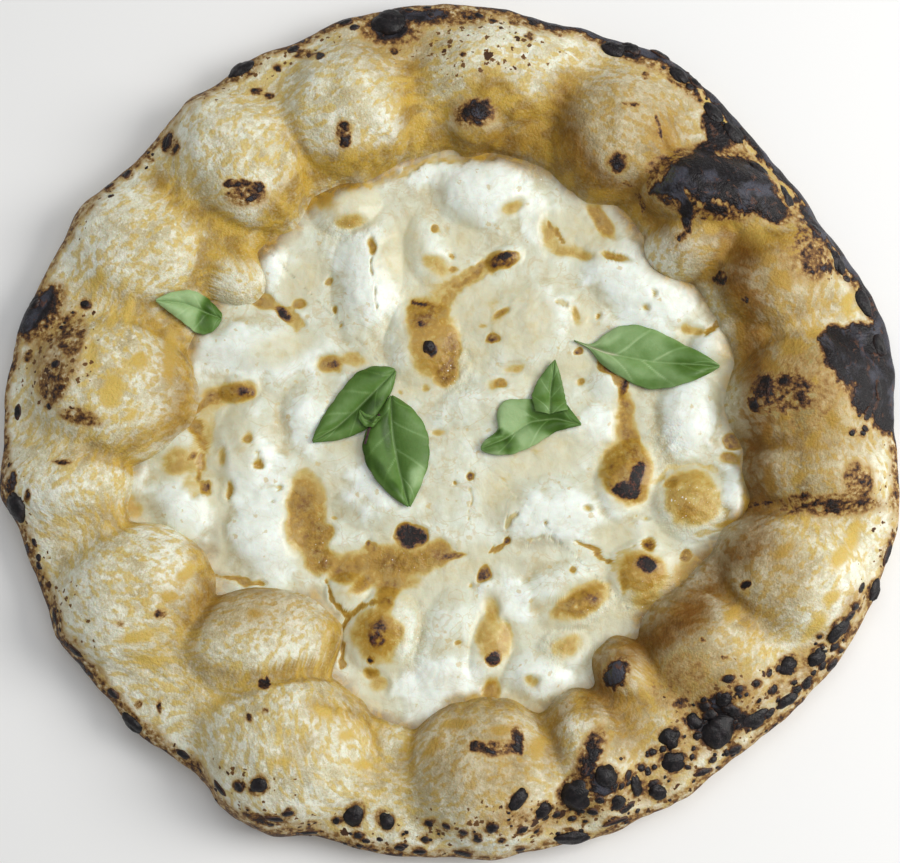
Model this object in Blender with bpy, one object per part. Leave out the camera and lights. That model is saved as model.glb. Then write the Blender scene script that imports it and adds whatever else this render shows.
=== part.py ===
"""A wood-fired pizza: a puffed and blistered dough base, a pool of melted cheese and six basil leaves.

Metres, +Z up. The underside rests on z = 0 and the origin is under the middle of the pizza. In the tables
below x runs to the right, y away from the viewer, and lengths and heights are in millimetres.
"""

import math

import bmesh
import bpy
import numpy as np
from mathutils import Matrix, Vector, geometry
from mathutils.bvhtree import BVHTree

MM = 0.001

# Round the pizza, one value every 15 degrees, counter-clockwise from the right-hand side.
# OUTLINE is the radius of the outer edge, INNER_FOOT where the rim meets the cheese between two puffs.
OUTLINE = (160.5, 161, 153.5, 154, 158.5, 155.5, 158.5, 155.5, 153.5, 151.5, 153.5, 160,
           159.5, 157.5, 155.5, 152.5, 150.5, 150.5, 150, 151.5, 152, 154.5, 160, 163)
INNER_FOOT = (104, 105, 103, 101, 102, 104, 103, 101, 99, 95, 98, 100,
              110, 119, 112, 104, 100, 105, 108, 105, 104, 100, 101, 110)
# The middle of that outline, which is moved to the origin.
PLAN_CENTRE = (1.0, 4.2)

COLUMNS = 144
RIM_ROWS = 22
CORE_RADIUS = 127
CORE_HEIGHT = 11
CREST_HEIGHT = 19
# The rim's section is cut off by the table before it reaches this depth, which rounds its lower edge.
UNDERCUT_DEPTH = 15
RIM_SECTION = (30, 14)
LOWEST_RIM_TURN = math.radians(-52)
CREASE_SOFTNESS = 0.9
PUFF_MIDDLE_HEIGHT = 9
SWELL_HEIGHT = 0.5
SWELL_WAVES = 10
SWELL_WAVELENGTHS = (18, 45)

BASE_THICKNESS = 4
FOOT_SLOPE = 3.5
CHEESE_EDGE_HEIGHT = 10.5
CHEESE_LEVEL = 9.8
CHEESE_SPACING = 6.2
# How steeply the soft lumps and the dough bubbles rise from their edges: the smaller, the steeper.
LUMP_FULLNESS = 0.8
BUBBLE_FULLNESS = 0.6
CLEARANCE = 0.4
SIDE_CLEARANCE = 0.6

LEAF_THICKNESS = 0.6
LEAF_STEPS = (12, 6)
# The blade's width along its length is a sine that leans towards the stalk end and is filled out.
BLADE_ENDS = (0.03, 0.985)
BLADE_LEAN = 0.82
BLADE_FULLNESS = 0.8
LEAF_RIPPLE = 0.4
RIPPLES_ALONG = 9
RIPPLES_ACROSS = 2
LEAF_STIFFNESS = 6
ABOVE_ALL = 100

# Puffs of the rim: x, y, half length, half width, turn of the length in degrees, height of the top.
PUFFS = {
    "right": (128, 12, 29, 26, 5, 31),
    "right_lower": (131, -15, 26, 19, -5, 28),
    "lower_right": (121, -52, 28, 24, -25, 30),
    "lower_right_inner": (92, -80, 27, 23, -40, 27),
    "nose": (62, -86, 14, 11, -60, 22),
    "ridge_below": (50, -116, 27, 16, -68, 27),
    "bottom": (12, -122, 29, 27, 0, 32),
    "bottom_left": (-57, -113, 33, 29, -15, 33),
    "bottom_left_inner": (-68, -76, 30, 20, 5, 27),
    "left_lower": (-112, -60, 30, 26, 30, 31),
    "left_small": (-137, -19, 23, 18, 5, 27),
    "left_upper": (-122, 15, 31, 28, -10, 31),
    "left_shoulder": (-113, 66, 26, 24, -30, 27),
    "left_shoulder_inner": (-78, 57, 13, 11, -40, 18),
    "upper_left": (-76, 98, 30, 23, -52, 31),
    "top_left": (-37, 117, 26, 26, 0, 31),
    "top": (18, 129, 36, 22, 0, 26),
    "top_inner": (9, 113, 13, 12, 0, 25),
    "upper_right": (60, 108, 26, 25, 50, 30),
    "black_bubble": (94, 85, 29, 16, -8, 33),
    "below_bubble": (90, 70, 20, 15, 25, 25),
    "right_upper": (117, 57, 25, 22, 25, 29),
}

# Charred blisters that stand up from the rim: x, y, half length, half width, turn in degrees.
BLISTERS = (
    (43, -128, 6.5, 6, 60), (32, -134, 4, 3.5, 60), (23, -130, 5, 3, 45), (64, -125, 4.5, 3, -60),
    (71, -127, 4, 3, -30), (54, -123, 5, 4, -60), (77, -117, 5, 4.5, 0), (76, -109, 4.2, 4, 0),
    (93, -106, 8, 6.5, 40), (84, -103, 4.2, 3.5, -40), (95, -96, 4, 3.5, 70), (106, -102, 5.5, 3.5, 20),
    (117, -84, 4.5, 3.5, 30), (127, -81, 4.5, 3.5, 45), (135, -72, 6, 3.5, 50), (121, -98, 5, 3, 35),
    (148, -58, 4.5, 3.5, 60), (58, -131, 3.6, 3.2, 0), (-33, -135, 4.5, 4, 70), (-22, -137, 4, 3.4, -60),
    (-66, -125, 4, 3.6, 20), (-160, -34, 6, 4.5, 75), (-22, 146, 7, 6, 0), (-75, 129, 6, 3.5, 30),
    (60, 143, 5, 4, -20), (82, 127, 5, 3.5, -45), (42, -143, 6.5, 3, 0), (-110, -104, 5, 3, -45),
)
BLISTER_RISE = 0.75

# Relief of the melted cheese: x, y, half length, half width, turn in degrees, rise above the pool.
CHEESE_LUMPS = (
    (14, 88, 24, 15, 0, 3), (-30, 56, 30, 15, 85, 2.4), (-65, 62, 9, 6, 60, 2), (70, 52, 30, 20, -35, 2.4),
    (30, 36, 30, 24, 0, 1.8), (-75, 32, 22, 12, 0, 1.8), (-70, -2, 26, 16, 75, 2.2),
    (-96, -26, 16, 13, -50, 2.2), (-70, -38, 20, 16, 0, 1.8), (-25, -28, 18, 11, 0, 1.5),
    (0, -75, 26, 16, 75, 2.2), (38, -28, 30, 20, 0, 1.8), (31, -86, 14, 12, 0, 2.4),
    (85, 8, 24, 13, 80, 2.4), (101, -25, 14, 9, 85, 2), (40, -54, 20, 12, 20, 1.8),
)
DOUGH_BUBBLES = (
    (-10, 33, 17, 14, 80, 3.4), (-24, -71, 16, 14, 70, 6), (86, -26, 15, 14, 0, 5),
    (62, -18, 17, 11, 65, 4.5), (68, -50, 14, 12, 20, 4.5), (46, -62, 16, 8, 25, 3),
    (-38, 82, 14, 11, 0, 5), (13, -77, 13, 9, 85, 3),
    (39, -79, 12, 9, 30, 2.6), (-36, -58, 9, 8, 0, 3), (-97, -10, 13, 10, 80, 3), (20, 63, 8, 5, 25, 2.4),
    (-75, 15, 8, 6, 0, 2.2),
)

# Basil: where the stalk end and the tip lie, the widest half width, how far the sides cup up, how far the
# tip curls, and how far the blade bows sideways.
LEAVES = {
    "basil_leaf_left": ((-82, 41), (-106.5, 47.5), 7.5, 1.6, 1.2, 0.5),
    "basil_leaf_upper": ((-20, 23), (-50, -4), 10, 2.6, 0.8, -3),
    "basil_leaf_lower": ((-23, 13), (-15, -26.5), 12.5, 2.2, 0.6, -1.2),
    "basil_leaf_folded": ((47, 3), (10, -6.5), 8.6, 2.0, 0.8, -3),
    "basil_leaf_point": ((32, 4), (38, 26.5), 6.6, 1.4, 1.4, 0),
    "basil_leaf_right": ((50, 31.5), (96.5, 24), 11.5, 2.4, 0.8, 0.6),
}


def clear_scene():
    for thing in list(bpy.data.objects):
        bpy.data.objects.remove(thing)


def round_the_pizza(values, angles):
    """A smooth closed curve through values that are evenly spaced round the pizza."""
    values = np.asarray(values, float)
    place = np.mod(angles, 2 * math.pi) / (2 * math.pi) * len(values)
    first = np.floor(place).astype(int)
    t = place - first
    before, start, end, after = (values[(first + step) % len(values)] for step in (-1, 0, 1, 2))
    bend = 2 * before - 5 * start + 4 * end - after
    twist = 3 * (start - end) + after - before
    return start + 0.5 * t * (end - before + t * (bend + t * twist))


def swell(x, y):
    """Gentle unevenness of the dough: a sum of sine waves, in millimetres."""
    draw = np.random.default_rng(11)
    total = np.zeros(np.shape(x))
    for _ in range(SWELL_WAVES):
        heading, phase = draw.uniform(0, math.pi), draw.uniform(0, 2 * math.pi)
        wavelength = draw.uniform(*SWELL_WAVELENGTHS)
        along = x * math.cos(heading) + y * math.sin(heading)
        total += np.sin(2 * math.pi * along / wavelength + phase)
    return SWELL_HEIGHT * total / 2


def far_side_of_puff(origin, direction, puff):
    """How far each ray from inside the rim runs before it leaves the puff's ellipsoid; 0 where it misses.

    A ray that only meets the puff on the far side of the pizza misses it.
    """
    x, y, half_length, half_width, turn, top = puff
    c, s = math.cos(math.radians(turn)), math.sin(math.radians(turn))
    to_puff = np.array([[c, s, 0], [-s, c, 0], [0, 0, 1]])
    axes = np.array([half_length, half_width, top - PUFF_MIDDLE_HEIGHT])
    o = (origin - np.array([x, y, PUFF_MIDDLE_HEIGHT])) @ to_puff.T / axes
    d = direction @ to_puff.T / axes
    dd, od, oo = (d * d).sum(-1), (o * d).sum(-1), (o * o).sum(-1) - 1
    half_chord = np.sqrt(np.maximum(od * od - dd * oo, 0))
    enters, leaves = (-od - half_chord) / dd, (-od + half_chord) / dd
    return np.where((half_chord > 0) & (enters < CORE_RADIUS / 2) & (leaves > 0), leaves, 0)


def rim_surface():
    """Points of the rim, one row for each turn of its section, from the cheese over the top to the table."""
    angle = np.arange(COLUMNS) / COLUMNS * 2 * math.pi
    turn = np.linspace(math.pi, LOWEST_RIM_TURN, RIM_ROWS)
    out, up = RIM_SECTION[0] * np.cos(turn), RIM_SECTION[1] * np.sin(turn)
    out, up = out / np.hypot(out, up), up / np.hypot(out, up)
    out, up = out[:, None], up[:, None]
    direction = np.stack([out * np.cos(angle), out * np.sin(angle), up + 0 * angle], -1)
    core = np.stack([CORE_RADIUS * np.cos(angle), CORE_RADIUS * np.sin(angle), CORE_HEIGHT + 0 * angle], -1)
    core = np.broadcast_to(core, direction.shape)

    sideways = np.where(out < 0, CORE_RADIUS - round_the_pizza(INNER_FOOT, angle),
                        round_the_pizza(OUTLINE, angle) - CORE_RADIUS)
    upright = np.where(up > 0, CREST_HEIGHT - CORE_HEIGHT, UNDERCUT_DEPTH)
    reaches = [1 / np.hypot(out / sideways, up / upright)]
    reaches += [far_side_of_puff(core, direction, puff) for puff in PUFFS.values()]
    reach = CREASE_SOFTNESS * np.log(sum(np.exp(r / CREASE_SOFTNESS) for r in reaches))
    reach += swell(core[..., 0] + direction[..., 0] * reach, core[..., 1] + direction[..., 1] * reach)
    to_table = np.where(up < 0, CORE_HEIGHT / np.maximum(-up, 1e-6), np.inf)
    points = core + direction * np.minimum(reach, to_table)[..., None]
    points[-1, :, 2] = 0
    return points


def to_scene(point, lift=0.0):
    """A point of the tables, in millimetres, as a place in the scene."""
    return Vector((point[0] - PLAN_CENTRE[0], point[1] - PLAN_CENTRE[1], point[2] + lift)) * MM


def inward(points, distance, height):
    """A ring of points moved towards the middle of the pizza, at one height."""
    radius = np.hypot(points[:, 0], points[:, 1])[:, None]
    plan = points[:, :2] * (1 - distance / radius)
    return np.column_stack([plan, np.full(len(plan), height)])


def new_object(name, mesh_builder, material):
    """An object from a bmesh whose points are already in place."""
    mesh = bpy.data.meshes.new(name)
    mesh_builder.normal_update()
    mesh_builder.to_mesh(mesh)
    mesh_builder.free()
    mesh.materials.append(material)
    thing = bpy.data.objects.new(name, mesh)
    bpy.context.scene.collection.objects.link(thing)
    return thing


def new_material(name, colour, roughness):
    material = bpy.data.materials.new(name)
    material.use_nodes = True
    shader = material.node_tree.nodes["Principled BSDF"]
    shader.inputs["Base Color"].default_value = (*colour, 1)
    shader.inputs["Roughness"].default_value = roughness
    shader.inputs["Metallic"].default_value = 0
    return material


def shade(thing, crease_degrees=50):
    thing.data.shade_smooth()
    thing.data.set_sharp_from_angle(angle=math.radians(crease_degrees))


def make_crust(rim, material):
    """The dough: a thin base with the puffed rim round it, closed along the flat underside."""
    foot = inward(rim[0], FOOT_SLOPE, BASE_THICKNESS)
    builder = bmesh.new()
    rings = [[builder.verts.new(to_scene(p)) for p in ring] for ring in (foot, *rim)]
    for inner, outer in zip(rings, rings[1:]):
        for k in range(COLUMNS):
            following = (k + 1) % COLUMNS
            builder.faces.new((inner[k], outer[k], outer[following], inner[following]))
    floor_middle = builder.verts.new(to_scene((*PLAN_CENTRE, BASE_THICKNESS)))
    table_middle = builder.verts.new(to_scene((*PLAN_CENTRE, 0)))
    for k in range(COLUMNS):
        following = (k + 1) % COLUMNS
        builder.faces.new((floor_middle, rings[0][k], rings[0][following]))
        builder.faces.new((table_middle, rings[-1][following], rings[-1][k]))
    bmesh.ops.triangulate(builder, faces=builder.faces)
    bmesh.ops.recalc_face_normals(builder, faces=builder.faces)
    return new_object("crust", builder, material)


def tree_of(thing):
    mesh = thing.data
    return BVHTree.FromPolygons([v.co for v in mesh.vertices], [list(p.vertices) for p in mesh.polygons])


def fuse_blisters(crust):
    """Joins the charred blisters to the crust, each a flattened ball that sits where the rim carries it."""
    rim = tree_of(crust)
    group = bpy.data.collections.new("blisters")
    bpy.context.scene.collection.children.link(group)
    for x, y, half_length, half_width, turn in BLISTERS:
        above = to_scene((x, y, ABOVE_ALL))
        centre = rim.ray_cast(above, Vector((0, 0, -1)))[0]
        if centre is None:
            centre = rim.find_nearest(to_scene((x, y, CORE_HEIGHT)))[0]
        builder = bmesh.new()
        bmesh.ops.create_icosphere(builder, subdivisions=1, radius=MM)
        axes = (half_length, half_width, BLISTER_RISE * half_width)
        bmesh.ops.scale(builder, verts=builder.verts, vec=axes)
        mesh = bpy.data.meshes.new("blister")
        builder.to_mesh(mesh)
        builder.free()
        blister = bpy.data.objects.new("blister", mesh)
        blister.location = centre
        blister.rotation_euler.z = math.radians(turn)
        group.objects.link(blister)
    union = crust.modifiers.new("blisters", "BOOLEAN")
    union.operation = "UNION"
    union.operand_type = "COLLECTION"
    union.collection = group
    union.solver = "EXACT"
    bpy.context.view_layer.update()
    evaluated = crust.evaluated_get(bpy.context.evaluated_depsgraph_get())
    fused = bpy.data.meshes.new_from_object(evaluated)
    crust.modifiers.clear()
    crust.data = fused
    for blister in list(group.objects):
        bpy.data.objects.remove(blister)
    bpy.data.collections.remove(group)


def dome(x, y, form):
    """0 outside the form's ellipse, 1 in its middle."""
    cx, cy, half_length, half_width, turn, _ = form
    c, s = math.cos(math.radians(turn)), math.sin(math.radians(turn))
    along, across = (x - cx) * c + (y - cy) * s, (y - cy) * c - (x - cx) * s
    return max(0.0, 1 - (along / half_length) ** 2 - (across / half_width) ** 2)


def cheese_height(x, y):
    """Height of the cheese over the table: the pool, its soft lumps and the dough bubbles that lift it."""
    lumps = max(form[5] * dome(x, y, form) ** LUMP_FULLNESS for form in CHEESE_LUMPS)
    bubbles = max(form[5] * dome(x, y, form) ** BUBBLE_FULLNESS for form in DOUGH_BUBBLES)
    return CHEESE_LEVEL + max(lumps, bubbles)


def make_cheese(rim, material):
    """The melted cheese: one solid that fills the middle of the crust, clear of it by a small gap."""
    wall_slope = FOOT_SLOPE / (CORE_HEIGHT - BASE_THICKNESS)
    top_inset = SIDE_CLEARANCE + wall_slope * (CORE_HEIGHT - CHEESE_EDGE_HEIGHT)
    bottom_height = BASE_THICKNESS + CLEARANCE
    bottom_inset = SIDE_CLEARANCE + wall_slope * (CORE_HEIGHT - bottom_height)
    edge = inward(rim[0], top_inset, CHEESE_EDGE_HEIGHT)
    under = inward(rim[0], bottom_inset, bottom_height)

    keep_out = inward(rim[0], top_inset + 0.6 * CHEESE_SPACING, CHEESE_EDGE_HEIGHT)[:, :2]
    row_step = CHEESE_SPACING * math.sqrt(3) / 2
    reach = int(max(INNER_FOOT) / row_step) + 1
    points = [tuple(p) for p in edge[:, :2]]
    for row in range(-reach, reach + 1):
        for column in range(-reach, reach + 1):
            p = ((column + 0.5 * (row % 2)) * CHEESE_SPACING, row * row_step)
            angle = math.atan2(p[1], p[0]) % (2 * math.pi)
            limit = np.hypot(*keep_out[int(round(angle / (2 * math.pi) * COLUMNS)) % COLUMNS])
            if math.hypot(*p) < limit:
                points.append(p)
    border = [(k, (k + 1) % COLUMNS) for k in range(COLUMNS)]
    plan, _, triangles, *_ = geometry.delaunay_2d_cdt([Vector(p) for p in points], border, [], 1, 1e-4)

    builder = bmesh.new()
    heights = [CHEESE_EDGE_HEIGHT if k < COLUMNS else cheese_height(p.x, p.y) for k, p in enumerate(plan)]
    top = [builder.verts.new(to_scene((p.x, p.y, z))) for p, z in zip(plan, heights)]
    bottom = [builder.verts.new(to_scene(p)) for p in under]
    middle = builder.verts.new(to_scene((*PLAN_CENTRE, bottom_height)))
    for corners in triangles:
        builder.faces.new([top[k] for k in corners])
    for k, following in border:
        builder.faces.new((top[k], bottom[k], bottom[following], top[following]))
        builder.faces.new((middle, bottom[following], bottom[k]))
    bmesh.ops.triangulate(builder, faces=builder.faces)
    bmesh.ops.recalc_face_normals(builder, faces=builder.faces)
    return new_object("melted_cheese", builder, material)


def leaf_plan(stalk_end, tip, half_width, bow):
    """Rows of points across a basil blade, pointed at the tip and round at the stalk end."""
    start, end = np.array(stalk_end, float), np.array(tip, float)
    forward = (end - start) / np.linalg.norm(end - start)
    side = np.array([-forward[1], forward[0]])
    rows = []
    for t in np.linspace(*BLADE_ENDS, LEAF_STEPS[0]):
        width = half_width * math.sin(math.pi * t ** BLADE_LEAN) ** BLADE_FULLNESS
        middle = start + (end - start) * t + side * bow * math.sin(math.pi * t)
        rows.append([(*(middle + side * width * s), t, s) for s in np.linspace(-1, 1, LEAF_STEPS[1])])
    return rows


def make_leaf(name, shape, ground, material):
    """A thin basil blade that follows what it lies on, with its sides cupped up and a curled tip."""
    stalk_end, tip, half_width, cup, curl, bow = shape
    rows = leaf_plan(stalk_end, tip, half_width, bow)
    base = np.array([[height_under(ground, x, y) for x, y, _, _ in row] for row in rows])
    for _ in range(LEAF_STIFFNESS):
        padded = np.pad(base, 1, mode="edge")
        base = (padded[:-2, 1:-1] + padded[2:, 1:-1] + padded[1:-1, :-2] + padded[1:-1, 2:]) / 4
    builder = bmesh.new()
    layers = []
    for lift in (0, LEAF_THICKNESS):
        layer = []
        for row, heights in zip(rows, base):
            z = []
            for (_, _, t, s), h in zip(row, heights):
                ripple = LEAF_RIPPLE * math.sin(RIPPLES_ALONG * t + RIPPLES_ACROSS * s)
                z.append(h + cup * s * s + curl * t ** 3 + ripple)
            layer.append([builder.verts.new(to_scene((x, y, h), lift)) for (x, y, _, _), h in zip(row, z)])
        layers.append(layer)
    under, over = layers
    last_row, last_side = len(under) - 1, len(under[0]) - 1
    for i in range(last_row):
        for j in range(last_side):
            for grid, order in ((under, (0, 1, 2)), (over, (0, 2, 1))):
                a, b, c, d = grid[i][j], grid[i + 1][j], grid[i + 1][j + 1], grid[i][j + 1]
                for corners in ((a, b, c), (a, c, d)):
                    builder.faces.new([corners[k] for k in order])
    edge = [(i, 0) for i in range(last_row)] + [(last_row, j) for j in range(last_side)]
    edge += [(i, last_side) for i in range(last_row, 0, -1)] + [(0, j) for j in range(last_side, 0, -1)]
    for (i, j), (k, m) in zip(edge, edge[1:] + edge[:1]):
        builder.faces.new((under[i][j], under[k][m], over[k][m], over[i][j]))
    bmesh.ops.triangulate(builder, faces=[f for f in builder.faces if len(f.verts) > 3])
    bmesh.ops.recalc_face_normals(builder, faces=builder.faces)
    leaf = new_object(name, builder, material)
    lay_down(leaf, ground)
    return leaf


def height_under(ground, x, y):
    """Height in millimetres of the highest thing under a point of the tables."""
    start = to_scene((x, y, ABOVE_ALL))
    hits = [tree.ray_cast(start, Vector((0, 0, -1)))[0] for tree in ground]
    return max((hit.z / MM for hit in hits if hit is not None), default=0.0)


def lay_down(leaf, ground):
    """Lowers or lifts a leaf until it lies just clear of everything under it."""
    down = Vector((0, 0, -1))
    gaps = []
    for vertex in leaf.data.vertices:
        above = Vector((vertex.co.x, vertex.co.y, ABOVE_ALL * MM))
        hits = [tree.ray_cast(above, down)[0] for tree in ground]
        gaps += [vertex.co.z - hit.z for hit in hits if hit is not None]
    leaf.data.transform(Matrix.Translation((0, 0, CLEARANCE * MM - min(gaps))))
    while any(tree_of(leaf).overlap(tree) for tree in ground):
        leaf.data.transform(Matrix.Translation((0, 0, 0.1 * MM)))


def main():
    clear_scene()
    dough = new_material("baked_dough", (0.62, 0.47, 0.28), 0.6)
    cheese = new_material("melted_cheese", (0.83, 0.81, 0.69), 0.35)
    basil = new_material("basil", (0.10, 0.22, 0.06), 0.45)

    rim = rim_surface()
    crust = make_crust(rim, dough)
    fuse_blisters(crust)
    pool = make_cheese(rim, cheese)
    ground = [tree_of(crust), tree_of(pool)]
    for name, shape in LEAVES.items():
        ground.append(tree_of(make_leaf(name, shape, ground, basil)))
    for thing in bpy.data.objects:
        shade(thing)


main()
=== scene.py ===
import math

import bpy
import numpy as np
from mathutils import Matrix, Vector
from mathutils.bvhtree import BVHTree


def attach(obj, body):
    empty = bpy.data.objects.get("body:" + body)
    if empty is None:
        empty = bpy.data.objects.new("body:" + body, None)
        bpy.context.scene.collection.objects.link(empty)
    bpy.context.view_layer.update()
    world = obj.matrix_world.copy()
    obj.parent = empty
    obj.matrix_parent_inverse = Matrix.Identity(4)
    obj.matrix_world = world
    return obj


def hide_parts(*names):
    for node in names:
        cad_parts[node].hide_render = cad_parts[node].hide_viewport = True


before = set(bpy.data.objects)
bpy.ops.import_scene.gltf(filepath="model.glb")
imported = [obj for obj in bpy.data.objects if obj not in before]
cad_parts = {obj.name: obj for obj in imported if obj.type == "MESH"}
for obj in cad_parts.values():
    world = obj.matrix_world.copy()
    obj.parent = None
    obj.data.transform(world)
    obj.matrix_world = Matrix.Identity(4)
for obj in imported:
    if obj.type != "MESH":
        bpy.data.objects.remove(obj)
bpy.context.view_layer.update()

# A whole wood-fired pizza. The tables are in millimetres, x to the right and y away from the viewer.
# They were read from straight above, on a level plane, as seen from the eye point.
mm = 0.001
planCentre = np.array([1.0, 4.2, 0.0])        # middle of the outline, which stands on the origin
viewTilt = math.radians(8)
viewDistance = 892.0
viewTarget = np.array([0.0, 0.0, 10.0])
eye = viewTarget + viewDistance * np.array([0.0, -math.sin(viewTilt), math.cos(viewTilt)])
rimReading = 24.0                             # height of the plane that the marks on the rim were read on
cheeseReading = 11.0                          # and those on the cheese
farOutside = -50.0                            # the depth in a mark where none is near


# Noise and fields

def latticeNoise(points, wavelength, seed):
    # random numbers on a cubic lattice, blended between its eight corners by 3t^2 - 2t^3, from -1 to 1
    place = points / wavelength
    cell = np.floor(place).astype(np.int64)
    t = place - cell
    t = t * t * (3 - 2 * t)
    total = np.zeros(points.shape[:-1])
    for corner in np.ndindex(2, 2, 2):
        key = (cell + corner) @ np.array([73856093, 19349663, 83492791]) + seed * 99991
        key = ((key ^ (key >> 13)) * 1274126177) & 0xffffffff
        key = ((key ^ (key >> 15)) * 668265263) & 0xffffffff
        value = ((key >> 8) & 0xffff) / 32767.5 - 1
        total += value * np.prod(np.where(np.array(corner) == 1, t, 1 - t), axis=-1)
    return total


def fractalNoise(points, wavelength, octaves, seed):
    # lattice noise, each octave at half the wavelength and half the height of the one before
    total = np.zeros(points.shape[:-1])
    for k in range(octaves):
        total += latticeNoise(points, wavelength / 2 ** k, seed + k) / 2 ** k
    return total


def smoothStep(value, low, high):
    t = np.clip((value - low) / (high - low), 0, 1)
    return t * t * (3 - 2 * t)


def atHeight(place, height):
    # points of a plan, all at one height
    return np.concatenate([place, np.full(place.shape[:-1] + (1,), float(height))], -1)


def wobbleOf(points, wavelength, seeds):
    # a sideways shift in x and y that makes the edges of marks uneven
    return np.stack([fractalNoise(points, wavelength, 3, seed) for seed in seeds], -1)


def readOnPlane(points, height):
    # where the line from the eye through each point meets the level reading plane
    share = (height - eye[2]) / (points[..., 2] - eye[2])
    return eye[:2] + (points[..., :2] - eye[:2]) * share[..., None]


def asEllipse(mark):
    # x, y, half length, half width, turn in degrees; a round mark gives only its radius
    x, y, halfLength = mark[:3]
    halfWidth = mark[3] if len(mark) > 3 else halfLength
    turn = mark[4] if len(mark) > 4 else 0
    return x, y, halfLength, halfWidth, math.radians(turn)


def ellipseDistance(place, mark):
    # distance from the middle of the mark's ellipse, 1 on its edge
    x, y, halfLength, halfWidth, turn = asEllipse(mark)
    dx, dy = place[..., 0] - x, place[..., 1] - y
    along, across = dx * math.cos(turn) + dy * math.sin(turn), dy * math.cos(turn) - dx * math.sin(turn)
    return np.hypot(along / halfLength, across / halfWidth)


def markDepth(place, mark):
    # millimetres inside the mark's edge, negative outside
    return (1 - ellipseDistance(place, mark)) * min(asEllipse(mark)[2:4])


def strokeDepth(place, stroke):
    # millimetres inside the stroke: its half width less the distance to its line
    halfWidth, *line = stroke
    depth = np.full(place.shape[:-1], farOutside)
    for start, end in zip(np.array(line, float), np.array(line[1:], float)):
        run = end - start
        t = np.clip((place - start) @ run / (run @ run), 0, 1)
        away = place - start - t[..., None] * run
        depth = np.maximum(depth, halfWidth - np.hypot(away[..., 0], away[..., 1]))
    return depth


def toastOf(place, marks, strokes, fray):
    # Each mark raises the toast to its own level over a soft edge, wider for a wide mark, and noise frays the
    # strokes. Where marks overlap, the eighth root of the sum of the eighth powers is taken.
    total = np.zeros(place.shape[:-1])
    for level, rows in marks.items():
        spread = np.interp(level, (0.44, 0.58, 0.75), (0.95, 0.6, 0.42))
        for mark in rows:
            soft = 0.4 + spread * min(5, *asEllipse(mark)[2:4])
            total += (level * smoothStep(markDepth(place, mark), -soft, soft * 0.7)) ** 8
    for level, rows in strokes.items():
        for stroke in rows:
            soft = 0.4 + 0.45 * stroke[0]
            total += (level * smoothStep(strokeDepth(place, stroke) + 0.8 * fray, -soft, soft * 0.7)) ** 8
    return total ** 0.125


def softCover(place, marks, blur, depthOf=markDepth):
    # 0 outside the marks or strokes and 1 inside, over an edge of twice the blur in millimetres
    depth = np.full(place.shape[:-1], farOutside)
    for mark in marks:
        depth = np.maximum(depth, depthOf(place, mark))
    return smoothStep(depth, -blur, blur)


def blurGrid(values, downRows, alongColumns):
    # gaussian blur of a grid that closes along its columns; its end rows are repeated outwards
    margin = int(4 * downRows) + 1
    padded = np.concatenate([values[:1].repeat(margin, 0), values, values[-1:].repeat(margin, 0)])
    down, along = np.fft.fftfreq(padded.shape[0])[:, None], np.fft.fftfreq(padded.shape[1])
    fade = np.exp(-2 * math.pi ** 2 * ((down * downRows) ** 2 + (along * alongColumns) ** 2))
    return np.fft.ifft2(np.fft.fft2(padded) * fade).real[margin:-margin]


def domes(place, forms, sharpness):
    # the highest of several domes, each rise x (1 - distance^2)^sharpness inside its ellipse
    height = np.zeros(place.shape[:-1])
    for x, y, halfLength, halfWidth, turn, rise in forms:
        inside = np.maximum(0, 1 - ellipseDistance(place, (x, y, halfLength, halfWidth, turn)) ** 2)
        height = np.maximum(height, rise * inside ** sharpness)
    return height


# Mesh building

def link(name, data):
    thing = bpy.data.objects.new(name, data)
    bpy.context.scene.collection.objects.link(thing)
    return thing


def makePiece(name, points, faces, marks):
    # a mesh from points in millimetres of the tables, with one number per point for each named mark
    mesh = bpy.data.meshes.new(name)
    places = (points.reshape(-1, 3) - planCentre) * mm
    corners = np.array(faces, np.int32)
    sides = corners.shape[1]
    mesh.vertices.add(len(places))
    mesh.vertices.foreach_set("co", places.ravel())
    mesh.loops.add(corners.size)
    mesh.loops.foreach_set("vertex_index", corners.ravel())
    mesh.polygons.add(len(corners))
    mesh.polygons.foreach_set("loop_start", np.arange(0, corners.size, sides))
    mesh.update(calc_edges=True)
    mesh.validate()
    for markName, values in marks.items():
        isVector = np.ndim(values) == 2
        layer = mesh.attributes.new(markName, "FLOAT_VECTOR" if isVector else "FLOAT", "POINT")
        layer.data.foreach_set("vector" if isVector else "value",
                               np.ascontiguousarray(values, np.float32).ravel())
    mesh.shade_smooth()
    return link(name, mesh)


def halved(quads):
    # two triangles for each quad
    return np.concatenate([quads[:, [0, 1, 2]], quads[:, [0, 2, 3]]])


def sheetFaces(rows, columns):
    # quads of a plain open grid
    i, j = np.meshgrid(np.arange(rows - 1), np.arange(columns - 1), indexing="ij")
    quad = (i * columns + j, (i + 1) * columns + j, (i + 1) * columns + j + 1, i * columns + j + 1)
    return np.stack(quad, -1).reshape(-1, 4)


def sheetBorder(rows, columns):
    # the points round such a grid, down its first column and on from there
    border = [(i, 0) for i in range(rows - 1)] + [(rows - 1, j) for j in range(columns - 1)]
    border += [(i, columns - 1) for i in range(rows - 1, 0, -1)]
    border += [(0, j) for j in range(columns - 1, 0, -1)]
    return np.array([i * columns + j for i, j in border])


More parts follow.
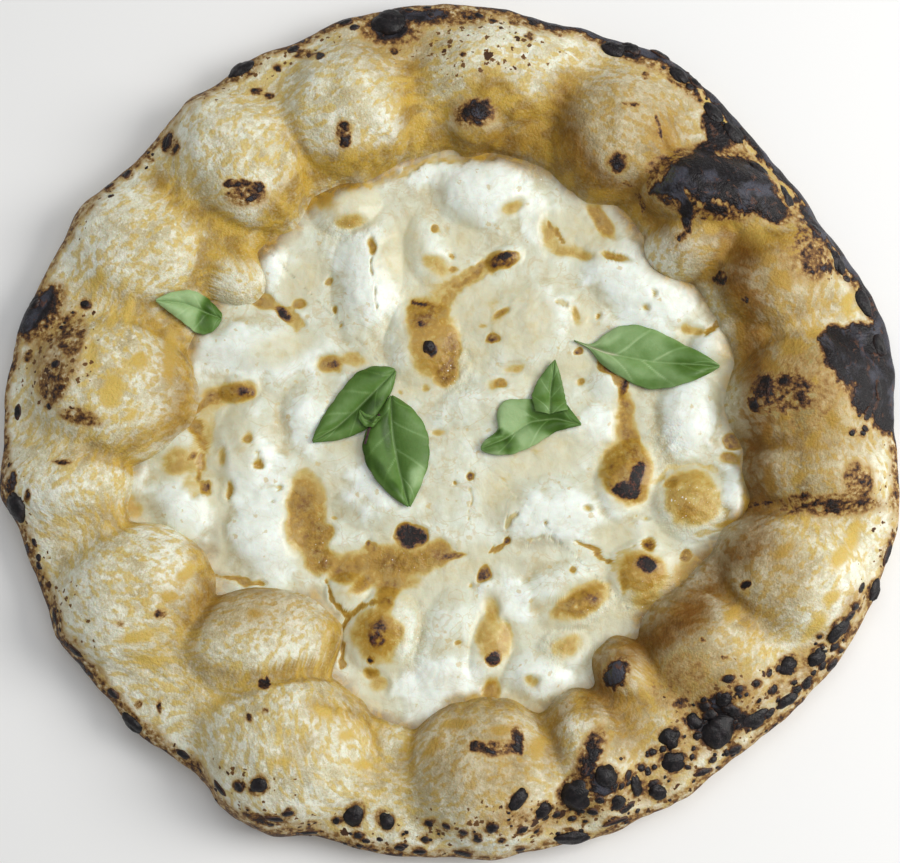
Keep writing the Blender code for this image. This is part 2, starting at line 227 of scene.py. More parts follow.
def closedRings(rows, columns):
    # triangles of a body of rings, with a fan over each end; its two hubs follow the rings' points
    i, j = np.meshgrid(np.arange(rows - 1), np.arange(columns), indexing="ij")
    after = (j + 1) % columns
    quad = (i * columns + j, (i + 1) * columns + j, (i + 1) * columns + after, i * columns + after)
    quads = np.stack(quad, -1).reshape(-1, 4)
    k = np.arange(columns)
    following = (k + 1) % columns
    hub, last = rows * columns, (rows - 1) * columns
    lid = np.column_stack([np.full(columns, hub), k, following])
    base = np.column_stack([np.full(columns, hub + 1), last + following, last + k])
    return np.concatenate([halved(quads), lid, base])


def treeOf(*pieces):
    # a search tree of the faces of one or several pieces
    places, faces = [], []
    for piece in pieces:
        before = len(places)
        places += [v.co for v in piece.data.vertices]
        faces += [tuple(before + k for k in side.vertices) for side in piece.data.polygons]
    return BVHTree.FromPolygons(places, faces)


# The puffed rim

outline = (160.5, 161, 153.5, 154, 158.5, 155.5, 158.5, 155.5, 153.5, 151.5, 153.5, 160,
           159.5, 157.5, 155.5, 152.5, 150.5, 150.5, 150, 151.5, 152, 154.5, 160, 163)
innerFoot = (104, 105, 103, 101, 102, 104, 103, 101, 99, 95, 98, 100,
             110, 119, 112, 104, 100, 105, 108, 105, 104, 100, 101, 110)

rimShape = dict(columns=772, rows=118, coreRadius=127, coreHeight=11, crestHeight=19,
                undercutDepth=15, section=(30, 14), lowestTurn=math.radians(-52), creaseSoftness=0.7,
                puffMiddle=9, swellHeight=0.5, baseThickness=4, footSlope=3.5,
                floorInset=40, grainRadius=92)

# x, y, half length, half width, turn of the length in degrees, height of the top
puffs = (
    (128, 12, 29, 26, 5, 31), (131, -15, 26, 19, -5, 28), (121, -52, 28, 24, -25, 30),
    (92, -80, 27, 23, -40, 27), (62, -86, 14, 11, -60, 22), (50, -116, 27, 16, -68, 27),
    (12, -122, 29, 27, 0, 32), (-57, -113, 33, 29, -15, 33), (-68, -76, 30, 20, 5, 27),
    (-112, -60, 30, 26, 30, 31), (-137, -19, 23, 18, 5, 27), (-122, 15, 31, 28, -10, 31),
    (-113, 66, 26, 24, -30, 27), (-78, 57, 13, 11, -40, 18), (-76, 98, 30, 23, -52, 31),
    (-37, 117, 26, 26, 0, 31), (18, 129, 36, 22, 0, 26), (9, 113, 13, 12, 0, 25),
    (60, 108, 26, 25, 50, 30), (94, 85, 29, 16, -8, 33), (90, 70, 20, 15, 25, 25),
    (117, 57, 25, 22, 25, 29),
)


def roundThePizza(values, angles):
    # a closed cubic curve through values evenly spaced round the pizza
    values = np.asarray(values, float)
    place = np.mod(angles, 2 * math.pi) / (2 * math.pi) * len(values)
    first = np.floor(place).astype(int)
    t = place - first
    before, start, end, after = (values[(first + step) % len(values)] for step in (-1, 0, 1, 2))
    bend = 2 * before - 5 * start + 4 * end - after
    twist = 3 * (start - end) + after - before
    return start + 0.5 * t * (end - before + t * (bend + t * twist))


def swell(x, y):
    # gentle unevenness of the dough: a sum of ten sine waves
    draw = np.random.default_rng(11)
    total = np.zeros(np.shape(x))
    for _ in range(10):
        heading, phase = draw.uniform(0, math.pi), draw.uniform(0, 2 * math.pi)
        wavelength = draw.uniform(18, 45)
        total += np.sin(2 * math.pi * (x * math.cos(heading) + y * math.sin(heading)) / wavelength + phase)
    return rimShape["swellHeight"] * total / 2


def farSideOfPuff(origin, direction, puff):
    # how far each ray from inside the rim runs before it leaves the puff's ellipsoid; 0 where it misses
    x, y, halfLength, halfWidth, turn, top = puff
    c, s = math.cos(math.radians(turn)), math.sin(math.radians(turn))
    toPuff = np.array([[c, s, 0], [-s, c, 0], [0, 0, 1]])
    axes = np.array([halfLength, halfWidth, top - rimShape["puffMiddle"]])
    o = (origin - np.array([x, y, rimShape["puffMiddle"]])) @ toPuff.T / axes
    d = direction @ toPuff.T / axes
    dd, od, oo = (d * d).sum(-1), (o * d).sum(-1), (o * o).sum(-1) - 1
    halfChord = np.sqrt(np.maximum(od * od - dd * oo, 0))
    enters, leaves = (-od - halfChord) / dd, (-od + halfChord) / dd
    return np.where((halfChord > 0) & (enters < rimShape["coreRadius"] / 2) & (leaves > 0), leaves, 0)


def rimSurface():
    # From a ring inside the rim, rays turn from the cheese over the top to the table. Each ray ends on the
    # soft maximum of the plain rim's section and the puffs' ellipsoids, raised by the fine relief.
    shape = rimShape
    angle = np.arange(shape["columns"]) / shape["columns"] * 2 * math.pi
    turn = np.linspace(math.pi, shape["lowestTurn"], shape["rows"])
    out, up = shape["section"][0] * np.cos(turn), shape["section"][1] * np.sin(turn)
    out, up = (out / np.hypot(out, up))[:, None], (up / np.hypot(out, up))[:, None]
    direction = np.stack([out * np.cos(angle), out * np.sin(angle), up + 0 * angle], -1)
    radius, height = shape["coreRadius"], shape["coreHeight"]
    core = np.stack([radius * np.cos(angle), radius * np.sin(angle), height + 0 * angle], -1)
    core = np.broadcast_to(core, direction.shape)
    sideways = np.where(out < 0, radius - roundThePizza(innerFoot, angle),
                        roundThePizza(outline, angle) - radius)
    upright = np.where(up > 0, shape["crestHeight"] - height, shape["undercutDepth"])
    reaches = [1 / np.hypot(out / sideways, up / upright)]
    reaches += [farSideOfPuff(core, direction, puff) for puff in puffs]
    reaches = np.array(reaches)
    reach = shape["creaseSoftness"] * np.log(np.exp(reaches / shape["creaseSoftness"]).sum(0))
    reach += swell(core[..., 0] + direction[..., 0] * reach, core[..., 1] + direction[..., 1] * reach)
    # creases are soft, and fade out on the outer side of the rim
    reach = blurGrid(reach, 1, 0.9)
    softened = blurGrid(reach, 4, 3.2)
    outer = smoothStep(turn, math.radians(130), math.radians(60))[:, None]
    reach += outer * (softened - reach)
    # the crest measure sets painted light on the crests and painted shade in the hollows of the dough
    crest = reach - blurGrid(reach, 11, 6)
    # concave places between puffs, later tinted golden brown: partly oil, partly painted shade
    crease = smoothStep(reach - blurGrid(reach, 5, 4), -0.2, -0.9)

    surface = core + direction * reach[..., None]
    # the flecks run round the rim: x and y of their coordinates lie on one circle, and z is the way along
    # the section, its height counting less
    steps = np.diff(surface, axis=0, prepend=surface[:1]) * [1, 1, 0.4]
    alongSection = blurGrid(np.cumsum(np.sqrt((steps ** 2).sum(-1)), axis=0), 0, 14)
    circle = shape["grainRadius"]
    grain = np.stack([circle * np.cos(angle) + 0 * out, circle * np.sin(angle) + 0 * out, alongSection], -1)
    relief = 0.7 * fractalNoise(surface, 12, 2, 3) + 0.28 * fractalNoise(grain, 4, 3, 9)
    relief -= 0.35 * smoothStep(latticeNoise(grain, 5, 21), 0.3, 0.8)
    relief *= smoothStep(turn, shape["lowestTurn"], shape["lowestTurn"] + 0.25)[:, None]
    reach = reach + relief
    toTable = np.where(up < 0, height / np.maximum(-up, 1e-6), np.inf)
    surface = core + direction * np.minimum(reach, toTable)[..., None]
    surface[-1, :, 2] = 0
    return surface, crest, crease, grain


# Toast on the rim, by level: 0.3 beige, 0.5 golden brown, 0.7 brown, 0.85 dark, 1 black.
# Each mark is x, y, half length, half width, turn.
rimMarks = {
    1.0: (
        (-21, 145, 7, 5.5), (-14, 149.5, 13, 2.6, -2), (-37.5, 147, 3, 2), (-100.6, 102.4, 1.4, 3.6, -15),
        (-145, 42, 9, 4.2, 52), (-149, 37, 6, 4, 60), (97, 87, 19, 11, -9), (85, 88, 10, 8.5),
        (112, 80, 10, 5, -30), (84, 77, 2.2, 7.5, 8), (78, 86, 8, 3, 15), (96, 107, 5.4, 7.5, 20),
        (90, 99, 5, 3, 30), (101, 112, 9, 3.6, -52), (113, 97, 12, 2.6, -52), (126, 80, 10, 2.6, -52),
        (145, 56, 9, 2.2, -62), (152, 40, 9, 2, -70), (136, 30, 6, 6), (135, 24, 3.5, 4), (144, 31, 8, 6),
        (152, 29, 8, 7), (142, 22, 7, 7), (151, 19, 9, 9), (147, 10, 6, 7), (154, 5, 6, 8),
        (157, 22, 9, 3, -75), (58.5, 141.7, 3.8, 2.8), (64.5, 135.5, 4.2, 2.4, -30),
        (82, 130.5, 5, 2.6, -40), (90, 121, 5, 2.4, -48), (57.5, -86.5, 3.6, 6, -25),
        (48.5, -117, 2.4, 7, -25), (53, -124, 4.6, 5, -30), (92, -105, 8, 6, 30), (93, -97, 3, 4, -10),
        (100, -103, 5, 3, 20), (-154, -35, 2.6, 5.5),
    ),
    0.92: (
        (-47, 134, 1.8, 1.4), (-68.5, 85.5, 2, 1.4, 50), (-70, 81.5, 2.4, 1.8, 20), (9, 113.5, 6, 4.2, 15),
        (110.5, 14, 3.6, 4.6), (106.5, 8, 2, 3, -10), (118, 16, 2.2, 1.8), (124, 11, 2.6, 1.8),
        (74, 134, 4, 1.6, -10), (59.5, 94.5, 2.4, 3.2, 10), (133.8, -28.5, 3.4, 2.6),
        (13, -113, 4.6, 1.4, -10), (8, -111.6, 2, 2), (23, -110, 2, 5.2, 5), (-64.3, -90, 2),
        (-72.9, -125.5, 2.2), (102.6, -56, 1.7), (134, 56.5, 1.9), (-38, 108.5, 1.6, 1.4),
        (-37.5, 103, 2.6, 2.2, -20), (-153, -20, 1.2, 4), (-149, -48, 1.6, 5, 15), (-140, -66, 1.2, 4, 30),
        (-128, -84, 1.2, 4, 40), (16, 151.5, 9, 1, -2), (48.5, -111, 1.6, 5, -12),
    ),
    0.78: (
        (-75, 87, 6, 1, 8), (-79, 83, 1.4), (-62, 129.5, 1.8), (-56, 136, 2.4, 1.8), (-69, 121, 2.2, 1.4),
        (-65, 119, 1.8, 1.2), (74.5, 107.5, 1, 5.5, 8), (65, 116.5, 3.6, 1), (70, 126.5, 1.4),
        (-97.6, 100.6, 1.8), (-107.6, -97.5, 1.4), (-101, -98, 0.9, 2.4), (-64, -98.8, 1),
        (-69.4, -102, 1.4), (88, -75, 1.1), (95.6, -81, 1.3), (79.5, -97, 2.4, 1.8),
        (124.5, -24.3, 1.8, 1.2), (-149, 24.5, 1.8), (-142, 31, 1.9), (-148, -25, 1.2, 2.4),
        (-136, -13, 3.6, 1.2), (-107, 96, 1.6), (-20.5, 136, 1.8, 1.2), (5, 135, 1.4, 1),
        (47, 143, 2.2, 1.2), (39, 142.5, 1.6, 1), (28.5, 141.5, 1.9, 1.2), (15.5, 147, 1.6, 1),
        (22.6, 146, 1.5, 1), (104, 45, 1.8), (96, 53, 3), (-129, 44, 2.4, 2), (-100.5, -66, 2.6, 1.7),
        (-38.5, 83, 1.3), (-42.4, 81, 0.8), (143, -27, 6, 1), (-67, -136, 5, 1.6, -20),
        # (106, -28) is painted shade in the crevice at the rim's foot
        (106, -28, 10, 1.2, 10), (82, 68, 2.2, 1.6),
    ),
    0.62: (
        (-21, 144, 12, 7), (-5, 149, 22, 4, -2), (-145, 40, 13, 7, 52), (-134, 33, 6, 8), (-140, 14, 6, 7),
        (-130, 3, 8, 3, -15), (-72, 83, 7, 5), (9, 113, 8.5, 6, 15), (94, 87, 26, 14, -9),
        (100, 108, 9, 9), (116, 94, 20, 4.5, -52), (147, 47, 17, 4, -62), (147, 18, 17, 11, -60),
        (110.5, 12, 6, 9), (131, -28, 21, 4.4), (58, -86, 5.5, 7.5, -20), (16, -112, 10, 3),
        (48, -116, 4.5, 13, -22), (93, -101, 9, 6, 35), (-114, -69.5, 1.4), (64, 136, 14, 4, -20),
        (84, 127, 10, 4, -45), (-38, 105, 3, 5), (60, 95, 4, 4.6), (-53, 135, 5, 2.4), (-99, 101, 3, 4),
        (128, 63, 6, 12, 10), (143, -20, 6, 8), (120, 12, 9, 8), (-24.6, 84, 2, 1.4),
    ),
    0.46: (
        (62, -127, 20, 6, 15), (92, -101, 19, 12, 35), (120, -86, 16, 6, 42), (140, -64, 12, 4, 55),
        (30, -136, 24, 5, 5), (78, -89, 15, 9, 35), (124, 12, 14, 17), (-139, 26, 10, 15),
        (124, 60, 12, 9, -50),
    ),
    0.32: ((78, -89, 18, 10, 35), (124, 8, 18, 20), (76, -78, 10, 5.5, 40)),
}
rimLines = {              # strokes: half width, then the points of the line
    1.0: ((1.2, (93, 119.5), (104, 108.5), (114, 97.5), (125, 82), (131, 73)),
          (1.2, (140, 60), (147, 48), (152, 34))),
    0.85: ((0.6, (-80, 86), (-78.5, 88), (-73, 88.3), (-67.5, 87.3), (-67, 85.5)),
           (0.7, (-67.5, 85), (-70.5, 82.5), (-72.5, 80)), (0.5, (116.5, -31), (123, -28.5), (131, -27.5))),
    # the stroke through (62, 88) is painted shade in the crevice at the rim's foot
    0.6: ((0.6, (131, -27.5), (141, -28), (150, -27.5)), (1.2, (62, 88), (67, 83), (69, 77)),
          (1.2, (-140, 70), (-118, 103), (-100, 118))),
}
goldenFoot = (            # where oil gathers at the inner foot of the rim
    (3.5, (-95, 2), (-92, 14), (-94, 28), (-99, 42)), (3, (-117, -10), (-108, -5), (-97, 1)),
    (6, (-66, 66), (-60, 78), (-52, 88), (-44, 93), (-32, 95), (-22, 92)),
    (5, (-84, 74), (-78, 66), (-72, 62)), (6, (-12, 103), (6, 101), (26, 102), (38, 97), (44, 88)),
    (6, (40, 104), (50, 86), (62, 80), (72, 76)), (5, (92, 74), (104, 68), (118, 68)),
    (4, (-84, -50), (-80, -54), (-64, -54)), (4, (-40, -70), (-40, -84), (-34, -92)),
    (3, (-12, -104), (-4, -98), (12, -96), (28, -98), (36, -102)), (5, (100, 50), (104, 36), (106, 20)),
    (5, (60, -74), (70, -76), (84, -64)), (5, (47, -84), (46, -96)), (4, (-103, 88), (-96, 80), (-88, 76)),
    (5, (-14, 128), (-14, 112), (-8, 104)), (5, (42, 124), (36, 112), (36, 100)),
    (7, (14, 122), (28, 112), (38, 102)), (4, (-30, 96), (-16, 100), (0, 104)),
    (4, (76, 106), (80, 94), (74, 84)), (5, (104, 62), (114, 66), (126, 70)),
    (3, (-46, -98), (-34, -100), (-26, -106)), (3, (-88, -44), (-84, -58), (-92, -70)),
    (3, (-34, -82), (-32, -94), (-24, -104)),
)
duskyFoot = (             # the shaded inner slope on the right-hand side
    (6.5, (104, 60), (102, 52), (106, 42), (108, 20), (108, 4), (107, -12), (108, -28), (106, -40),
     (96, -48), (88, -60), (80, -70), (68, -76), (56, -82), (52, -92)),
    (2.5, (64, 88), (68, 82), (72, 74), (80, 66)), (2, (40, -98), (36, -104), (38, -114)),
    (2.2, (43, 114), (44, 103), (52, 92), (64, 86)),
)
bakedAndShaded = (                # broad areas that are baked darker, partly painted shade on the inner slopes that face away from the light
    (112, -12, 14, 22), (80, -66, 24, 12, -40), (126, 6, 26, 30), (132, -18, 16, 14),
    (86, -86, 24, 16, -40), (108, -52, 18, 20, -30), (96, 84, 26, 14), (98, 60, 16, 14),
    (-96, 6, 6, 26, 10), (60, -104, 12, 14), (120, 52, 16, 18), (60, 106, 27, 25), (10, -116, 22, 18),
    (-20, 140, 18, 10), (24, 104, 18, 8), (-72, -62, 26, 10),
)
paleLines = (             # golden creases that stayed free of char
    (0.9, (89, 121.8), (99.9, 107.6), (114.2, 91.5), (124.9, 79)),
    (0.7, (66, -80), (68.5, -86), (68, -93), (71, -99), (76, -103)),
    (0.6, (62.5, -79.5), (64.5, -84), (64, -92), (66, -101)), (0.6, (50, -80), (55, -77.6), (60, -77.8)),
    (0.5, (84, 84.5), (89, 79), (95, 81.5), (101, 77.5), (107, 74.5), (112, 73)),
)
ovals = (                 # flat golden patches: x, y, half length, half width, turn
    (-126, 25, 6.5, 2.4, 88), (-119.6, 37.5, 3.8, 2, 70), (-113.7, 41, 7, 1.8, 80),
    (-119, 12.5, 7, 3.6, 80), (-109.5, 23, 3), (-98.8, 25, 10, 2.4, 88), (-128, 5, 4, 2, 80),
    (-112, 4, 3, 1.6, 60), (-125, 52, 5, 2, 60), (134, 70, 3.4, 2.2, 60), (130, 78, 2.4, 1.6),
    (141, 44, 5, 2, 70), (136, -46, 5, 2.6, 60), (127, -70, 6, 2.4, 50), (141, -38, 6, 2, 80),
    (133, -60, 4, 2.2, 40), (96.3, 77, 4.6, 3.8), (107.7, 68.3, 4.5, 3.6), (92.5, 71, 3, 2.8),
    (101.5, 72, 2.6, 2.4), (117.7, 52.3, 4.5, 3.4, -30), (113, 60, 3, 2.2), (122, 62, 3, 2, 40),
    (98, 62, 2.6, 3.6), (-108, -74, 7, 2.4, 10), (-105, -82, 6, 2, -10), (-98, -60, 3, 2.4),
    (-92, -52, 4, 2.4, 40), (-68, -66, 3, 2), (-44, -100, 4, 1.6, -30), (-58, -117, 3.6, 1.6, 10),
    (-36, -108, 3, 2), (-30, -118, 3.4, 1.8), (-80, -96, 3.6, 2, 20), (2, -104, 6, 2.2, 10),
    (18, -106, 5, 2), (30, -112, 4, 3, 60), (-6, -112, 5, 2, 50), (121, 28, 3, 5, 80),
    (113, 21.5, 2.6, 4, 60), (134, 3, 2.6, 5, 10), (118, 3, 3, 2, 20), (127, -5, 4, 2, 60),
    (111, -2, 1.8, 4), (129, 33, 4, 2.4, 20), (122, -18, 3.4, 2, 40), (128, 16, 3, 1.8, -30),
    (112, -20, 1.8, 4.5, 10), (116, -44, 5, 2, 40), (98, -66, 4, 2, 45),
)
# How far in from the outer edge the black brink reaches, one value every 15 degrees. The brink is char, with
# painted shade where the surface turns away at the outline
brinkDark = (1.5, 3, 5, 5, 5, 2.5, 1, 1.5, 1.5, 1, 1, 1.2, 1, 2, 2.4, 2, 1.8, 2, 0.5, 1, 0.5, 0, 0, 0.5)
brinkTone = (0.9, 1, 1, 1, 1, 0.96, 0.84, 0.8, 0.75, 0.74, 0.76, 0.84, 0.82, 0.78, 0.74, 0.74, 0.76, 0.8,
             0.84, 0.8, 0.74, 0.7, 0.74, 0.84)          # and how dark it is
denseSpots = (            # where small brown and black dots crowd
    (-138, 24, 14, 24, -8), (30, -137, 55, 10, 5), (98, -110, 38, 11, 40), (138, -74, 30, 7, 55),
    (153, -30, 24, 5, 80), (92, 126, 28, 8, -45), (148, 52, 30, 7, -65), (-50, -139, 38, 6, -14),
    (-112, -104, 38, 5, -42), (-149, -40, 30, 5, -75), (20, 147, 60, 6), (-60, 134, 36, 6, 28),
    (-114, 97, 28, 5, 50), (8, 136, 30, 10), (92, -94, 22, 10, 30), (-134, -62, 6, 20, 30),
    (-66, -122, 16, 5, -20), (134, 62, 8, 14, 20),
)
# Half the width of each kind of mark's soft edge, and where what depends on the distance to the outer edge
# starts and is full, both in millimetres
rimBlur = dict(bakedAndShaded=8, dusky=7, golden=4.5, pale=0.8, ovals=0.9, dots=6, beads=1.1)
rimFades = dict(outwards=(34, 8), dots=(16, 6), crease=(44, 18))
beadHalo, brinkHalo, edgeDots = 0.62, 0.6, 0.35
underRings = (0.97, 0.8, 0.55, 0.3, 0.02)     # rings of the underside, as shares of its radius


def makeCrust():
    shape = rimShape
    surface, crest, crease, grain = rimSurface()
    rows, columns = surface.shape[:2]

    def ringTowardsMiddle(ring, distance):
        radius = np.hypot(ring[:, 0], ring[:, 1])[:, None]
        return atHeight(ring[:, :2] * (1 - distance / radius), shape["baseThickness"])

    foot = ringTowardsMiddle(surface[0], shape["footSlope"])
    floor = ringTowardsMiddle(surface[0], shape["floorInset"])
    middle = planCentre + [0, 0, shape["baseThickness"]]
    inside = [middle + (floor - middle) * underRings[-1], floor, foot]
    under = [planCentre + (surface[-1] - planCentre) * share for share in underRings]
    grid = np.concatenate([inside, surface, under])
    first, last = len(inside), len(inside) + rows                 # the rows of grid that are the rim

    place = readOnPlane(grid, rimReading)
    wobble = wobbleOf(grid, 5, (31, 41))
    warped = place + 0.8 * wobble
    radius = np.hypot(place[..., 0], place[..., 1])
    fromEdge = radius[first:last].max(0) - radius
    angle = np.arange(columns) / columns * 2 * math.pi
    brink = fromEdge + 1.5 * fractalNoise(grid, 8, 2, 51) + 1.1 * fractalNoise(grid, 3, 2, 57)
    brinkWidth, brinkLevel = roundThePizza(brinkDark, angle), roundThePizza(brinkTone, angle)
    fray = fractalNoise(grid, 2.6, 2, 63)
    toast = toastOf(warped, rimMarks, rimLines, fray)
    rings = [(x, y, a + 0.7, b + 0.7, *turn) for x, y, a, b, *turn in charBeads + strewn]
    pale = softCover(place + 0.6 * wobble, paleLines, rimBlur["pale"], strokeDepth)
    pale *= smoothStep(fray, -0.7, 0.1)
    toast = np.maximum(toast, beadHalo * softCover(warped, rings, rimBlur["beads"]))
    # char along the outer edge shading off into brown, partly painted shade where the rim turns away at the
    # outline
    toast = np.maximum(toast, brinkLevel * smoothStep(brink, brinkWidth, brinkWidth - 2.2))
    toast = np.maximum(toast, brinkHalo * smoothStep(brink, brinkWidth + 5, brinkWidth - 1))
    toast *= 1 - 0.85 * pale
    onTop = np.clip(grid[..., 2] / 6, 0, 1)
    crease *= 1 - 0.75 * smoothStep(fromEdge[first:last], *rimFades["crease"])
    spotted = np.maximum(softCover(place, denseSpots, rimBlur["dots"]),
                         edgeDots * smoothStep(fromEdge, *rimFades["dots"]))
    head, tail = np.zeros((first, columns)), np.zeros((len(under), columns))
    underside = np.zeros((len(grid), columns))
    underside[last - 3:] = 1                                      # with the lowest rows of the rim
    marks = {
        "toast": np.clip(toast, 0, 1.1),
        # darker baked areas, partly painted shade
        "bakedAndShaded": softCover(place, bakedAndShaded, rimBlur["bakedAndShaded"]),
        "dusky": softCover(warped, duskyFoot, rimBlur["dusky"], strokeDepth),
        "golden": softCover(warped, goldenFoot, rimBlur["golden"], strokeDepth),
        "ovals": np.maximum(softCover(place + 0.5 * wobble, ovals, rimBlur["ovals"]), pale),
        "dots": spotted * onTop,
        "outwards": smoothStep(fromEdge, *rimFades["outwards"]),
        "crest": np.concatenate([head - 1, crest, tail]),
        "crease": np.concatenate([head, crease, tail]),
        "underside": underside,
        "grain": np.concatenate([grain[:1].repeat(first, 0), grain, grain[-1:].repeat(len(under), 0)]),
    }
    for name, values in marks.items():
        flat = values.reshape(len(grid) * columns, -1)
        flat = np.concatenate([flat, flat[:1], flat[-1:]])
        marks[name] = flat if flat.shape[1] == 3 else flat[:, 0]
    points = np.concatenate([grid.reshape(-1, 3), [middle, planCentre]])
    triangles = closedRings(len(grid), columns)
    crust = makePiece("crust_baked", points, triangles, marks)
    print("crust", len(triangles), "triangles")
    return crust


# Char beads: blisters that puffed up and burnt. x, y, half length, half width, turn
charBeads = (
    (43, -128, 6.5, 6, 60), (32, -134, 4, 3.2, 60), (23, -130, 5.2, 3, 45), (64, -125, 4.6, 2.8, -60),
    (71, -127, 4, 3, -30), (54, -122, 4.6, 4, -60), (77, -117, 5, 4.4, 10), (76, -109, 4, 3.8, 0),
    (93, -106, 7.6, 6, 40), (84, -103, 4, 3.2, -40), (95, -96, 4, 3.2, 70), (106, -102, 6, 3.2, 20),
    (117, -84, 4.4, 3.2, 30), (127, -81, 4.2, 3.2, 45), (135, -72, 5.6, 3.2, 50), (121, -98, 4.8, 2.6, 35),
    (148, -58, 4.5, 3, 60), (58, -131, 3.2, 2.8, 0), (-33, -135, 4.4, 3.8, 70), (-22, -137, 4, 3, -60),
    (-66, -125, 3.4, 3, 20), (-160, -34, 6, 4.5, 75), (-22, 146, 7, 6, 0), (-75, 129, 6, 3.5, 30),
    (60, 143, 5, 3.6, -20), (82, 127, 5, 3.2, -45), (42, -143, 6.5, 3, 0), (-110, -104, 5, 3, -45),
    (88, -98, 2.4, 2.2), (90, -101, 3, 2.4, 30), (97.5, -99.5, 3.6, 2.6, -30), (85.5, -108, 2.2, 2),
    (100, -92, 2, 1.8), (106, -90, 1.8, 1.5), (112, -92, 2.4, 1.8, 30), (123.3, -90.5, 2.6, 2, 40),
    (132.5, -83.5, 3, 1.8, 50), (66, -119, 1.8, 1.6), (70, -113.5, 1.9, 1.7), (87, -120.5, 3.4, 1.3, 15),
    (57, -137.5, 5, 1.4, 8), (49, -134, 2.2, 1.8), (51.5, -130, 2, 1.8), (14.6, -139.5, 2.6, 2.2, 40),
    (4.6, -141, 1.9, 1.5), (25, -140, 2.4, 1.8), (4.6, -148, 4, 1.4), (-10.5, -147.5, 2.6, 1.4),
    (-31.6, -142, 2, 1.4), (-39, -137, 1.6, 1.6), (-15.8, -145.5, 1.8, 1.2), (-48.5, -141, 4.6, 1.4, -12),
    (-59.6, -136.5, 4.6, 1.3, -20), (-72.9, -125.5, 2.1, 2), (-83, -128, 4, 1.8, -30),
    (141, -63.5, 2, 1.8), (152.7, -45, 4.6, 1.6, 72), (144, -72, 3.6, 1.6, 55), (110, -108, 3, 1.6, 35),
    (-7.4, 30.5, 2.6, 2.5), (-37.5, 146.5, 2.6, 1.8, 15), (-56, 136.5, 2.6, 1.8, 25),
    (-100.5, 102.5, 3, 1.4, 80), (-147, 44, 3.4, 2.6, 50), (-157, 6, 3, 1.6, 85), (-141, 7, 1.4, 1.3),
    (-139, 22, 2, 1.8), (-129, 43.5, 2.2, 1.8), (-151, -68, 3.4, 1.8, -60), (-136, -86, 3.6, 1.8, -50),
    (-122, -98, 3, 1.6, -45), (-96, -119, 3.2, 1.6, -35), (64, -137, 2, 1.4), (98, -113, 3.6, 1.8, 30),
    (115, -103, 3, 1.6, 38), (128, -92, 2.8, 1.5, 45), (65, 137, 4.4, 2.6, -25),
    (75.5, 134.5, 4.6, 2.4, -18), (96.5, 117.5, 5, 3, -48), (106, 109, 5.6, 3, -48),
    (115, 99.5, 5, 2.8, -50), (125.5, 85, 5, 2.6, -55), (134, 75, 3.4, 2, -55), (143.5, 61.5, 5.4, 3, -60),
    (151.5, 47, 6, 2.8, -66), (157, 31, 5, 2.8, -75), (88, 124, 3, 2, -45), (158, 14, 4, 2.2, -85),
)
beadShape = dict(around=24, rings=11, sunk=0.3, rise=0.64, wrinkle=0.16, folds=0.2)
crowds = (                # small blisters strewn in these ellipses; the last number is how many
    (96, -104, 30, 13, 38, 60), (134, -76, 26, 6, 52, 18), (30, -140, 54, 7, 4, 34),
    (98, 120, 30, 5, -47, 16), (149, 50, 24, 5, -68, 14), (-150, -44, 40, 3, -78, 16),
    (-58, -138, 38, 4, -17, 16), (-10, 149, 30, 3, 0, 10), (-112, 98, 30, 3, 48, 8),
    (60, -124, 22, 8, 20, 22), (145, 4, 6, 10, 0, 8), (-138, 24, 10, 18, -8, 3),
)


def strewBeads():
    # evenly over the area of each crowd; half lengths 0.6 + 1.1 u^2 for even u, a few of them drawn out
    draw = np.random.default_rng(5)
    rows = []
    for x, y, halfLength, halfWidth, turn, count in crowds:
        share, heading = np.sqrt(draw.random(count)), draw.random(count) * 2 * math.pi
        size = draw.random(count) ** 2
        c, s = math.cos(math.radians(turn)), math.sin(math.radians(turn))
        along, across = halfLength * share * np.cos(heading), halfWidth * share * np.sin(heading)
        places = np.column_stack([x + along * c - across * s, y + along * s + across * c])
        spread = 0.6 + 1.1 * size
        turns = turn + draw.normal(0, 25, count)
        lengths = spread * draw.uniform(1, 1.6, count)
        rows += [tuple(row) for row in np.column_stack([places, lengths, spread, turns])]
    return tuple(rows)


strewn = strewBeads()


def surfacePoint(tree, x, y, height):
    # the point of a surface seen at a place of the reading plane, and its normal, in millimetres
    start = Vector((eye - planCentre) * mm)
    towards = Vector((np.array([x, y, height]) - planCentre) * mm) - start
    hit, normal, _, _ = tree.ray_cast(start, towards.normalized())
    if hit is None:
        hit, normal, _, _ = tree.find_nearest(start + towards)
    return np.array(hit) / mm + planCentre, np.array(normal)


